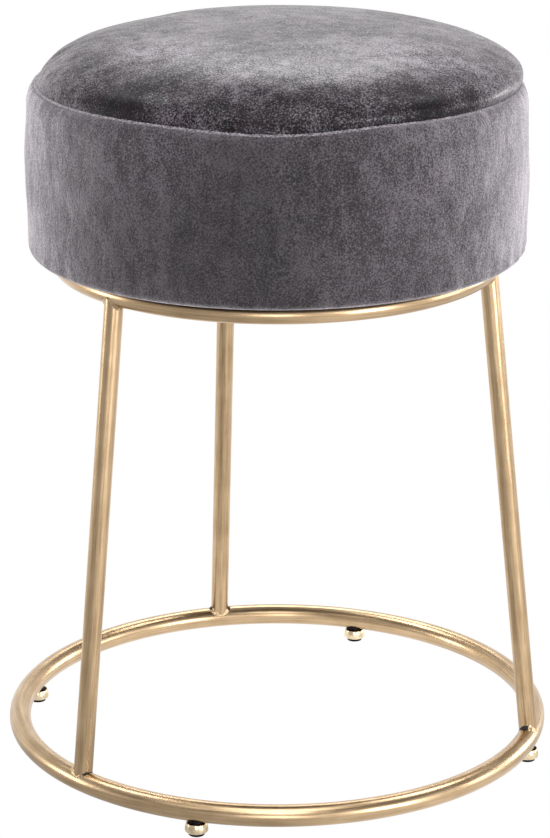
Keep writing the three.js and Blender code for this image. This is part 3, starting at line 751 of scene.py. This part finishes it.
def tab_weld(tab, seed):
    """The bead under a tab: a cord along the crease of plate and tube, tapered at both ends."""
    node = f"seat_tab_{tab}"
    radius, tube, height = ring_sizes("upper_ring")
    sink = TAB_WELD * TAB_WELD_SINK
    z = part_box(node)[0][2] - sink
    reach = radius - np.sqrt((tube + sink) ** 2 - (z - height) ** 2)
    share, section = np.linspace(-1, 1, 60)[:, None], turns(12)
    uneven = 1 + TAB_WELD_UNEVEN * np.cos(share * TAB_WELD_WAVES + seed)
    girth = TAB_WELD * (1 - share ** 6) ** 0.5 * uneven + TAB_WELD_TIP
    turn = share * TAB_WELD_HALF / reach
    grid = turned_grid(reach + girth * np.cos(section), z + girth * np.sin(section), turn)
    return lay_surface(f"tab_weld_{tab}", turned(grid, azimuth_of(node)), wrap_rows=False)


plate_gold = plain_metal("plated_steel", shade(206, 172, 128), shade(176, 142, 100), 0.36, 900, 0.00004)
for number, tab in enumerate(TABS):
    fit(seat_tab(tab), plate_gold, "stool", "gold_tube", f"seat_tab_{tab}")
    fit(tab_weld(tab, number), weld_gold, "stool", "weld")

# Seat bolts
# A button-head M6 bolt with a hexagon socket goes up through each tab, over a plain washer, into a
# tee nut in the board. All are bright zinc.
BOLT_SOCKET = 0.0023
BOLT_SOCKET_DEPTH = 0.002
BOLT_MOUTH = 0.46  # radians from the dome's pole
BOLT_BREAK = 0.0001
BOLT_UNDERCUT = 0.0002


def seat_bolt(tab):
    """The bolt, from the floor of its socket out: the hexagon socket, the dome as a quarter ellipse, the
    bearing face, and the threaded shank."""
    node = f"seat_bolt_{tab}"
    low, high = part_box(node)
    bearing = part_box(f"seat_washer_{tab}")[0][2] - PIECE_GAP
    head_radius, head_height = high[0] - middle_of(node)[0], bearing - low[2]
    turn = turns(FOOT_COLUMNS)
    socket, floor_z = hexagon(turn, BOLT_SOCKET), low[2] + BOLT_SOCKET_DEPTH
    dome = [(head_radius * np.sin(angle), bearing - head_height * np.cos(angle))
            for angle in np.linspace(BOLT_MOUTH, np.pi / 2, 14)]
    rows = [(AXIS_GAP, floor_z), (socket - BOLT_BREAK, floor_z), (socket, floor_z - BOLT_BREAK),
            (socket, dome[0][1] + BOLT_BREAK), *dome, (STEM_RADIUS, bearing),
            *stud(turn, bearing, high[2], BOLT_UNDERCUT)]
    return lay_surface(node + "_button", ringed(rows, turn) + middle_of(node), wrap_rows=False, crease=30)


def seat_washer(tab):
    """A plain washer: a flat ring with broken edges."""
    node = f"seat_washer_{tab}"
    low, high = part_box(node)
    bore, edge = STEM_RADIUS + BORE_CLEARANCE, high[0] - middle_of(node)[0]
    middle = (low[2] + high[2]) / 2
    loop = rounded([(bore, middle), (bore, low[2]), (edge, low[2]), (edge, high[2]), (bore, high[2]),
                    (bore, middle + BOLT_BREAK)], SOFT_EDGE, 4)
    return lathe(node + "_ring", node, loop, crease=30)


zinc = plain_metal("bright_zinc", shade(196, 200, 204), shade(160, 166, 172), 0.3, 1400, 0.00002)
for tab in TABS:
    fit(seat_washer(tab), zinc, "stool", "zinc_steel", f"seat_washer_{tab}")
    fit(seat_bolt(tab), zinc, "stool", "zinc_steel", f"seat_bolt_{tab}")
    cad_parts[f"tee_nut_{tab}"].material_slots[0].material = zinc

# Seat board
# A round of birch plywood under the foam, drilled for the tee nuts. The velvet and the dust cover
# hide it.
PLY_THICKNESS = 0.0025


def birch_plywood():
    """Plywood: pale plies and thin dark glue lines up its edge, and long grain on its faces."""
    paint = Paint("birch_plywood")
    height = paint.node("SeparateXYZ", {}, {0: paint.place}, "Z")
    stretched = paint.node("Mapping", {}, {"Vector": paint.place, "Scale": (1, 14, 1)})
    fibres = paint.noise(60, 4, 0.6, stretched)
    glue = 1 - (height.maths("PINGPONG", height, PLY_THICKNESS) * (1 / PLY_THICKNESS)).step(0.02, 0.12)
    wood = paint.mix(fibres.step(0.3, 0.7), shade(196, 158, 110), shade(226, 196, 150))
    return paint.coat({
        "Base Color": paint.mix(glue * 0.6, wood, shade(120, 84, 50)),
        "Roughness": 0.7 + (fibres - 0.5) * 0.2,
        "Normal": paint.bump(fibres, 0.0002),
    })


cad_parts["seat_board"].material_slots[0].material = birch_plywood()

# Foam
# A firm foam block stands on the board up to just below the seam, and a softer one on it swells up
# into the crown. Both fill the covers.
SEAT_COLUMNS = 720
HEM_RADIUS = 0.1589
HEM_CORNER = 0.0051
SHOULDER_RADIUS = 0.1583
BAND_BELLY = 0.001
BAND_ROWS = (8, 60, 16)
ROLL_HEIGHT = 0.0125
SEAM_RADIUS = 0.1521
BAND_SWELLS = 0.0005
BAND_GATHERS = 0.0003
BAND_PUCKERS = 0.00012
GATHER_REACH = 0.009
PUCKER_REACH = 0.006
BACK_JOIN = np.pi / 2
BACK_JOIN_GROOVE = (0.0007, 0.008)  # the depth in metres and the width in radians
BACK_JOIN_PUFF = (0.0004, 0.03)
SEAM_WANDER = 0.0003
SEAM_DIP = (268, 16, -0.0016)  # the azimuth and the width in degrees, and the rise in metres
SEAM_LIFT = (294, 11, 0.0011)
CROWN_WIDTH_POWER = (2.956, 1.532, 0.337)
CROWN_RISE_POWER = (2.310, -0.167, -0.104)
CROWN_ROWS = 110
CROWN_TILT = -0.13
CROWN_BULGE = 0.0037
CROWN_ROOM = 0.0024
CROWN_GATHERS = 0.0001
CROWN_SWELLS = 0.0005
CROWN_SHARES = np.linspace(0, np.pi / 2, CROWN_ROWS)[:-1, None]
VELVET_THICKNESS = 0.0012
FOAM_INSET = VELVET_THICKNESS + 2 * PIECE_GAP
FOAM_STEP = 4  # the foam has one column for that many of the velvet's
FOAM_CENTRE = 0.002
FOAM_MARGIN = 0.001
FOAM_SHOULDER = 0.004

hem_z, seam_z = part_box("band_cover")[0][2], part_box("band_cover")[1][2]
crown_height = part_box("top_cover")[1][2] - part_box("top_cover")[0][2]
around = turns(SEAT_COLUMNS)[None]


def moved_in(radius, height, distance):
    """Outlines that rise along the rows, moved to their left by a distance, which is in towards the foam."""
    across, up = np.gradient(radius, axis=0), np.gradient(height, axis=0)
    length = np.hypot(across, up)
    return radius - up / length * distance, height + across / length * distance


def seam_wave(turn):
    """How far the seam lies above its level: it dips in front and lifts a little to the right of that."""
    wave = SEAM_WANDER * wander(turn, (3, 9), 11)
    for azimuth, width, rise in (SEAM_DIP, SEAM_LIFT):
        wave = wave + rise * bump_at(turn, np.radians(azimuth), np.radians(width))
    return wave


def band_skin(turn):
    """Radius and height of the band's outer face, from the hem's lower edge to the seam: a quarter circle, a
    wall that bellies as 4 b t (1 - t), and a quarter ellipse that rolls in to the seam. On that lie soft
    swells that drift as they rise, gathers at both edges, and the groove of the join at the back. The
    upper part follows the seam's wave."""
    hem, wall, roll = (np.linspace(0, 1, rows)[:, None] for rows in BAND_ROWS)
    side = HEM_RADIUS + (SHOULDER_RADIUS - HEM_RADIUS) * wall + 4 * BAND_BELLY * wall * (1 - wall)
    radius = np.vstack([HEM_RADIUS - HEM_CORNER + HEM_CORNER * np.sin(hem * np.pi / 2), side[1:],
                        (SEAM_RADIUS + (SHOULDER_RADIUS - SEAM_RADIUS) * np.cos(roll * np.pi / 2))[1:]])
    wall_height = seam_z - hem_z - HEM_CORNER - ROLL_HEIGHT
    height = np.vstack([hem_z + HEM_CORNER * (1 - np.cos(hem * np.pi / 2)),
                        (hem_z + HEM_CORNER + wall_height * wall)[1:],
                        (seam_z - ROLL_HEIGHT + ROLL_HEIGHT * np.sin(roll * np.pi / 2))[1:]])
    rise = (height - hem_z) / (seam_z - hem_z)
    swells = wander(turn + 1.3 * rise, (3, 12), 21) + wander(turn - 0.9 * rise, (8, 22), 22) * 0.5
    from_hem, from_seam = np.abs(height - hem_z - HEM_CORNER), seam_z - height
    gathers = BAND_GATHERS * wander(turn, (34, 62), 23) * np.exp(-from_hem / GATHER_REACH)
    puckers = BAND_PUCKERS * wander(turn, (60, 110), 24) * np.exp(-from_seam / PUCKER_REACH)
    groove, puff = (depth * bump_at(turn, BACK_JOIN, width)
                    for depth, width in (BACK_JOIN_GROOVE, BACK_JOIN_PUFF))
    on_show = np.clip((height - hem_z) / HEM_CORNER, 0, 1)
    moved = BAND_SWELLS * swells * np.sin(np.pi * rise) + gathers + puckers - groove + puff
    radius = radius + moved * on_show
    return radius, height + seam_wave(turn) * np.clip((rise - 0.6) / 0.4, 0, 1) ** 2


def crown_skin(turn, share):
    """Radius and height of the crown's outer face before it is pressed out, at a share of the way from the
    seam to the axis: a superellipse, r = R cos^(2/p) and z = H sin^(2/q). Its powers are given by their mean
    and their two cosines round the axis, its rise tilts with x, and it bulges out over the seam towards +X.
    On that lie soft swells all over, and gathers that die away from the seam."""
    width_power, rise_power = (mean + once * np.cos(turn) + twice * np.cos(2 * turn)
                               for mean, once, twice in (CROWN_WIDTH_POWER, CROWN_RISE_POWER))
    reach = np.cos(share) ** (2 / width_power)
    climb = np.sin(share) ** (2 / rise_power)
    from_seam = (1 - reach) * SEAM_RADIUS + climb * crown_height
    gathers = CROWN_GATHERS * wander(turn, (40, 90), 31) * np.exp(-from_seam / GATHER_REACH) * (1 - climb)
    swells = CROWN_SWELLS * wander(turn + reach * 2, (2, 7), 32) * np.sin(np.pi * reach) * climb
    tilt = 1 + CROWN_TILT * reach * np.cos(turn)
    rise = (crown_height - CROWN_ROOM) * climb * tilt
    bulge = CROWN_BULGE * np.cos(turn) * np.sin(np.pi * climb ** 0.8)
    return SEAM_RADIUS * reach + bulge + gathers, seam_z + rise + swells + seam_wave(turn) * (1 - climb) ** 2


def open_foam(name, colour, shadow):
    """Open-cell foam: small round cells, darker where they open."""
    paint = Paint(name)
    cells = paint.node("TexVoronoi", {}, {"Vector": paint.place, "Scale": 900}, "Distance")
    return paint.coat({"Base Color": paint.mix(cells.step(0.1, 0.5), shadow, colour), "Roughness": 0.95,
                       "Normal": paint.bump(cells, 0.0004)})


def foam_block(node, rows):
    """A block of foam from the rings of its outline."""
    return lay_surface(node + "_block", ringed(rows, around[0])[:, ::FOAM_STEP], wrap_rows=False)


wall_radius, wall_height = moved_in(*band_skin(around), FOAM_INSET)
level = wall_height.mean(1)
core_bottom, core_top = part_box("foam_core")[0][2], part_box("foam_core")[1][2]
core_rows = np.flatnonzero((level > core_bottom) & (level < core_top - FOAM_MARGIN))
top_rows = np.flatnonzero((level > core_top + FOAM_MARGIN) & (level < seam_z - FOAM_SHOULDER))
dome_radius, dome_height = moved_in(*crown_skin(around, CROWN_SHARES), FOAM_INSET)
dome_rows = np.flatnonzero((dome_height.mean(1) > seam_z) & (dome_radius.min(1) > FOAM_MARGIN))
core = foam_block("foam_core", [
    (FOAM_CENTRE, core_bottom), (wall_radius[core_rows[0]], core_bottom),
    *((wall_radius[row], wall_height[row]) for row in core_rows),
    (wall_radius[core_rows[-1]], core_top), (FOAM_CENTRE, core_top)])
top_foam = foam_block("foam_top", [
    (FOAM_CENTRE, core_top + PIECE_GAP), (wall_radius[top_rows[0]], core_top + PIECE_GAP),
    *((wall_radius[row], wall_height[row]) for row in top_rows),
    *((dome_radius[row], dome_height[row]) for row in dome_rows)])
firm_foam = open_foam("firm_foam", shade(222, 212, 186), shade(170, 158, 130))
soft_foam = open_foam("soft_foam", shade(236, 233, 224), shade(190, 186, 174))
fit(core, firm_foam, "stool", "core_foam", "foam_core")
fit(top_foam, soft_foam, "stool", "top_foam", "foam_top")


# Band
# The side of the seat is one strip of velvet, sewn end to end at the back, drawn down over the board's
# edge and stapled under it. Its upper edge rolls in to the seam.
FABRIC_MARGIN = 0.032
PILE_DEEP = shade(22, 20, 22)
PILE_PLUM = shade(32, 23, 29)
PILE_SHEEN = (1.0, 0.93, 1.0, 1)


def painted_light_spots(finish, place, light_spots):
    """Painted light and shade on the pile: above 0 where the pile is painted lighter, below 0 where it is
    painted darker. Each spot is full in its middle, given by azimuth, radius and height, and gone at its
    reach."""
    lean = 0
    for azimuth, radius, height, reach, change in light_spots:
        x, y, _ = direction_of(np.radians(azimuth), 0)
        middle = (radius * x, radius * y, height)
        distance = finish.node("VectorMath", {"operation": "DISTANCE"}, {0: place, 1: middle}, "Value")
        lean = lean + (1 - distance * (1 / reach)).between(0, 1) * change
    return lean


def velvet(name, tip, lit_tip, upright, standing, sheen, gloss, gloss_spread, relief_depth, light_spots):
    """Short dense pile, as a speckle of two shaders: tips that lie over, pale at a grazing angle from their
    sheen, and tips that stand, which are dark. The speckle is fine, and thins out in clouds and in patches of
    a thumb's width. Spots paint light and shade on it: more and paler lying tips as painted light where a
    spot is above 0, fewer lying tips as painted shade where it is below 0. Upright is how much the patches
    are drawn out up and down, and standing the share of the gloss and the sheen that standing tips keep."""
    paint = Paint(name)
    drawn = paint.node("Mapping", {}, {"Vector": paint.place, "Scale": (1, 1, upright)})
    patches, clouds = paint.noise(24, 3, 0.55, drawn), paint.noise(110, 3, 0.6, drawn)
    tips, plum = paint.noise(950, 2, 0.6), paint.noise(40).step(0.4, 0.65)
    light_shift = painted_light_spots(paint, paint.place, light_spots)
    # over is the spots' painted light and up their painted shade
    over, up = light_shift.between(0, 1), light_shift.between(-1, 0)
    lying = (patches * 0.22 + clouds * 0.2 + tips * 0.58 + over * 0.02 + up * 0.09).step(0.425, 0.575)
    deep = paint.mix(plum, PILE_DEEP, PILE_PLUM)
    relief = paint.bump(patches + clouds * 0.4 + tips * 0.1, relief_depth)
    common = {"Roughness": gloss_spread, "Sheen Roughness": 0.5, "Sheen Tint": PILE_SHEEN, "Normal": relief}
    standing_tips = paint.node("BsdfPrincipled", {}, {
        **common, "Base Color": deep, "Specular IOR Level": gloss * standing,
        "Sheen Weight": sheen * standing})
    lying_tips = paint.node("BsdfPrincipled", {}, {
        **common, "Base Color": paint.mix(lying, deep, paint.mix(over, tip, lit_tip)),
        "Specular IOR Level": gloss, "Sheen Weight": sheen})
    surface = paint.node("MixShader", {}, {0: lying, 1: standing_tips, 2: lying_tips})
    paint.feed(paint.tree.nodes["Material Output"], {"Surface": surface})
    paint.tree.nodes.remove(paint.tree.nodes["Principled BSDF"])
    return paint.material


def band_cover():
    """The strip's outer face, its raw edge under the board, and its inner face."""
    radius, height = band_skin(around)
    margin = np.ones((2, SEAT_COLUMNS))
    margin_radius = margin * np.array([[HEM_RADIUS - FABRIC_MARGIN], [HEM_RADIUS - FABRIC_MARGIN / 2]])
    radius, height = np.vstack([margin_radius, radius]), np.vstack([margin * hem_z, height])
    inner_radius, inner_height = moved_in(radius, height, VELVET_THICKNESS)
    outer, inner = turned_grid(radius, height, around), turned_grid(inner_radius, inner_height, around)
    return lay_surface("band_velvet", np.vstack([outer, inner[::-1]]), crease=60)


BAND_PAINTED_LIGHT = (  # painted light (change above 0) and painted shade (below 0) on the band, each in degrees and metres: azimuth, radius, height and reach, and the change
    (305, 0.158, 0.405, 0.13, 0.9), (312, 0.155, 0.430, 0.05, 0.3), (240, 0.154, 0.436, 0.06, 0.8),
    (200, 0.154, 0.434, 0.05, 0.5), (262, 0.158, 0.375, 0.08, -0.25),
)
side_velvet = velvet("side_velvet", shade(50, 46, 50), shade(84, 78, 84), upright=0.6, standing=0.45,
                     sheen=1.0, gloss=0.3, gloss_spread=0.6, relief_depth=0.0020, light_spots=BAND_PAINTED_LIGHT)
band = fit(band_cover(), side_velvet, "stool", "velvet", "band_cover")

# Crown
# The top is one disc of the same velvet over the soft foam, sewn to the band all round. It is
# full and nearly flat, and not quite even from side to side. The foam's push is simulated on a sheet.
SHEET_CELLS = 104
SHEET_FRAMES = 12
SHEET_REACH = 0.004
SHEET_HOLD = 40  # the power with which the movement dies away at the seam
SHEET_CLOTH = {
    "quality": 5, "mass": 0.2, "tension_stiffness": 15, "compression_stiffness": 15, "shear_stiffness": 5,
    "bending_stiffness": 0.5, "shrink_min": -0.01, "vertex_group_mass": "seam", "use_pressure": True,
    "uniform_pressure_force": 1.2,
}
CROWN_CENTRE = 0.0005
SPLINE = np.array([[1, 4, 1, 0], [-3, 0, 3, 0], [3, -6, 3, 0], [-1, 3, -3, 1]]) / 6


def crown_run():
    """How far the crown's rows lie from its middle along the velvet, as shares of the way to the seam."""
    radius, height = (side.mean(1) for side in crown_skin(around, CROWN_SHARES))
    steps = np.hypot(np.diff(radius), np.diff(height))
    run = np.append(np.cumsum(steps[::-1])[::-1], 0) + radius[-1]
    return run / run[0]


def pressed_sheet():
    """How far each point of a square net over the disc moves when the foam presses the velvet out. The net
    starts on the crown's shape, held at the seam, and a cloth simulation blows it out without gravity."""
    across = np.linspace(-1, 1, SHEET_CELLS + 1)
    x, y = np.meshgrid(across, across, indexing="ij")
    out, turn = np.minimum(np.hypot(x, y), 1), np.arctan2(y, x)
    share = np.interp(out, np.append(0, crown_run()[::-1]), np.append(np.pi / 2, CROWN_SHARES[::-1, 0]))
    start = turned_grid(*crown_skin(turn, share), turn).reshape(-1, 3)
    index = np.arange(x.size).reshape(x.shape)
    cells = np.stack([index[:-1, :-1], index[1:, :-1], index[1:, 1:], index[:-1, 1:]], -1).reshape(-1, 4)
    mesh = bpy.data.meshes.new("sheet")
    mesh.from_pydata(start, [], cells[(out.ravel()[cells] < 1).any(1)].tolist())
    sheet = bpy.data.objects.new("sheet", mesh)
    bpy.context.scene.collection.objects.link(sheet)
    sheet.vertex_groups.new(name="seam").add(np.flatnonzero(out.ravel() >= 1).tolist(), 1.0, "REPLACE")
    cloth = sheet.modifiers.new("push", "CLOTH").settings
    for setting, value in SHEET_CLOTH.items():
        setattr(cloth, setting, value)
    cloth.effector_weights.gravity = 0
    for frame_number in range(1, SHEET_FRAMES + 1):
        bpy.context.scene.frame_set(frame_number)
    pressed = np.empty(start.size, np.float32)
    sheet.evaluated_get(bpy.context.evaluated_depsgraph_get()).data.vertices.foreach_get("co", pressed)
    bpy.context.scene.frame_set(1)
    bpy.data.objects.remove(sheet)
    bpy.data.meshes.remove(mesh)
    moved = pressed.reshape(-1, 3) - start
    length = np.linalg.norm(moved, axis=1, keepdims=True)
    return (moved * np.minimum(1, SHEET_REACH / np.maximum(length, 1e-9))).reshape(*x.shape, 3)


def spline_at(net, x, y):
    """A net's value between its points, by a cubic spline: each of the 16 points around has its weight."""
    places = (np.stack([x, y]) + 1) / 2 * SHEET_CELLS
    first = np.clip(places.astype(int) - 1, 0, SHEET_CELLS - 3)
    part = places - first - 1
    weights = np.einsum("kc,k...->c...", SPLINE, np.stack([part ** power for power in range(4)]))
    return sum(weights[i, 0][..., None] * weights[j, 1][..., None] * net[first[0] + i, first[1] + j]
               for i in range(4) for j in range(4))


def pressed_crown():
    """The crown's outer face with the sheet's movement added, out and up, but not round the axis."""
    radius, height = np.broadcast_arrays(*crown_skin(around, CROWN_SHARES))
    run = crown_run()[:, None]
    moved = spline_at(pressed_sheet(), run * np.cos(around), run * np.sin(around))
    held = 1 - run ** SHEET_HOLD
    out = moved[..., 0] * np.cos(around) + moved[..., 1] * np.sin(around)
    return radius + out * held, height + moved[..., 2] * held


def crown_cover():
    """The disc's inner face, from the middle out, and then its outer face, back to the middle."""
    radius, height = pressed_crown()
    inner_radius, inner_height = moved_in(radius, height, VELVET_THICKNESS)
    kept = inner_radius.min(1) > CROWN_CENTRE
    outer, inner = turned_grid(radius, height, around), turned_grid(inner_radius, inner_height, around)
    return lay_surface("crown_velvet", np.vstack([inner[kept][::-1], outer]), wrap_rows=False, crease=60)


# Painted shade on the crown's flank above the seam, where the change is below 0, and a painted highlight
# along its ridge, where it is above 0; each in degrees and metres: azimuth, radius, height and reach, and the
# change.
CROWN_PAINTED_LIGHT = (
    (236, 0.143, 0.461, 0.055, -1.2), (306, 0.148, 0.459, 0.055, -1.1), (284, 0.151, 0.450, 0.030, -0.6),
    (264, 0.148, 0.453, 0.025, -0.6), (245, 0.150, 0.448, 0.035, 0.9), (222, 0.106, 0.471, 0.045, 1.1),
    (321, 0.114, 0.472, 0.05, 1.2),
)
# The top's velvet is the band's with its tips painted paler, as painted light that lifts the crown's shaded
# flank, and with less sheen and more gloss.
top_velvet = velvet("top_velvet", shade(87, 81, 87), shade(128, 120, 128), upright=1.0, standing=0.15,
                    sheen=0.24, gloss=0.46, gloss_spread=0.38, relief_depth=0.0009, light_spots=CROWN_PAINTED_LIGHT)
crown = fit(crown_cover(), top_velvet, "stool", "velvet", "top_cover")

# Seam
# The crown and the band are sewn edge to edge with lockstitch. The band's turned edge stands up as a
# fine pale lip, nicked by every stitch, and the thread shows on the outer side of it.
STITCHES = 364
STITCH_LENGTH = 0.0019
LIP_RADIUS = 0.0009
LIP_OFFSET = 0.0002
THREAD_RADIUS = 0.00036
THREAD_OFFSET = 0.0004
THREAD_BOW = 0.0002
THREAD_LEAN = 0.0002


def seam_lip():
    """A closed cord on the seam whose size dips at every stitch and whose height follows the seam's wave."""
    turn, section = np.meshgrid(turns(STITCHES * 6), turns(8), indexing="ij")
    size = LIP_RADIUS * (1 - 0.2 * np.cos(STITCHES * turn) + 0.12 * wander(turn, (50, 90), 41))
    radius = SEAM_RADIUS + LIP_OFFSET + size * np.cos(section)
    height = seam_z + seam_wave(turn) + size * np.sin(section)
    return lay_surface("seam_lip", turned_grid(radius, height, turn))


def seam_stitches():
    """One stitch for each step round the seam: a short bent cord, round and tapered at both ends, that lies
    along the lip's outer side and leans a little."""
    middle = turns(STITCHES)[:, None, None]
    along = np.linspace(-1, 1, 7)[None, :, None]
    section = turns(6)[None, None]
    loose = np.random.default_rng(42).uniform(-1, 1, (2, STITCHES, 1, 1))
    turn = middle + along * (STITCH_LENGTH / 2 / SEAM_RADIUS)
    girth = THREAD_RADIUS * np.sqrt(1.02 - along ** 2)
    lip_side = SEAM_RADIUS + LIP_RADIUS + THREAD_OFFSET
    radius = lip_side + THREAD_BOW * (1 - along ** 2) + girth * np.cos(section)
    height = (seam_z + seam_wave(turn) + THREAD_LEAN * (along + loose[0])
              + girth * np.sin(section) * (1 + 0.1 * loose[1]))
    return lay_surface("seam_stitches", turned_grid(radius, height, turn), wrap_rows=False)


# The lip is the velvet's backing, paler than the pile, and the thread is twisted polyester.
seam_edge = mottled("seam_edge", shade(62, 57, 62), shade(150, 143, 150), (420, 3, 0.7), (0.38, 0.62),
                    0.8, 0.0002, **{"Sheen Weight": 0.7})
sewing_thread = mottled("sewing_thread", shade(104, 98, 104), shade(168, 161, 168), (4000, 1), (0.35, 0.65),
                        0.6, 0.0001)
fit(seam_lip(), seam_edge, "stool", "velvet")
fit(seam_stitches(), sewing_thread, "stool", "thread", "seam_thread")

# Dust cover
# A round of black spun cloth closes the underside and hides the raw edge of the velvet. Staples
# outside the seat ring hold it to the board.
COVER_ROWS = 60
COVER_SAG = 0.0012
COVER_CENTRE = 0.001
STAPLES = 40
STAPLE_CROWN = 0.010
STAPLE_BEND = 0.9  # where the crown ends, as a share of its half
STAPLE_LEAN = 0.04
STAPLE_WIRE = 0.0006
STAPLE_CIRCLE = 0.1475
STAPLE_PUCKER = 0.0001
PUCKER_START = 0.146
SAG_RADIUS = 0.09


def dust_cover():
    """Two faces of a disc that sags by s (1 - (r/R)^2)^2 inside the ring and puckers between the staples."""
    low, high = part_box("dust_cover")
    edge = high[0]
    turn = turns(SEAT_COLUMNS // 2)
    radius = np.linspace(COVER_CENTRE, edge, COVER_ROWS)[:, None]
    sag = COVER_SAG * np.clip(1 - (radius / SAG_RADIUS) ** 2, 0, 1) ** 2
    near_edge = np.clip((radius - PUCKER_START) / (edge - PUCKER_START), 0, 1)
    lift = STAPLE_PUCKER * (1 + np.cos(STAPLES * turn)) * near_edge - sag
    lower, upper = (turned_grid(radius, corner[2] + lift, turn) for corner in (low, high))
    return lay_surface("dust_cover_cloth", np.vstack([lower, upper[::-1]]), wrap_rows=False, crease=60)


def staples():
    """A ring of staples: each is a bent wire whose crown lies along the edge and whose ends turn up."""
    share = np.linspace(-1, 1, 11)[None, :, None]
    section = turns(6)[None, None]
    wire = STAPLE_WIRE / 2
    legs = np.clip((np.abs(share) - STAPLE_BEND) / (1 - STAPLE_BEND), 0, 1)
    turn = turns(STAPLES)[:, None, None] + share * (1 - STAPLE_LEAN * legs) * STAPLE_CROWN / 2 / STAPLE_CIRCLE
    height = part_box("dust_cover")[0][2] - wire + 2 * wire * legs + wire * np.sin(section)
    grid = turned_grid(STAPLE_CIRCLE + wire * np.cos(section), height, turn)
    return lay_surface("staples", grid, wrap_rows=False)


def spun_cloth():
    """Spun-bonded cloth: a mat of fibres pressed in a lattice of small dots."""
    paint = Paint("spun_cloth")
    dots = paint.node("TexVoronoi", {}, {"Vector": paint.place, "Scale": 620}, "Distance")
    fibres = paint.noise(1500, 4, 0.7)
    return paint.coat({
        "Base Color": paint.mix(fibres.step(0.3, 0.7), shade(17, 17, 18), shade(44, 44, 46)),
        "Roughness": 0.75 + (fibres - 0.5) * 0.3,
        "Normal": paint.bump(dots * 0.5 + fibres * 0.5, 0.0002),
    })


cover = fit(dust_cover(), spun_cloth(), "stool", "dust_cloth", "dust_cover")
fit(staples(), zinc, "stool", "zinc_steel")
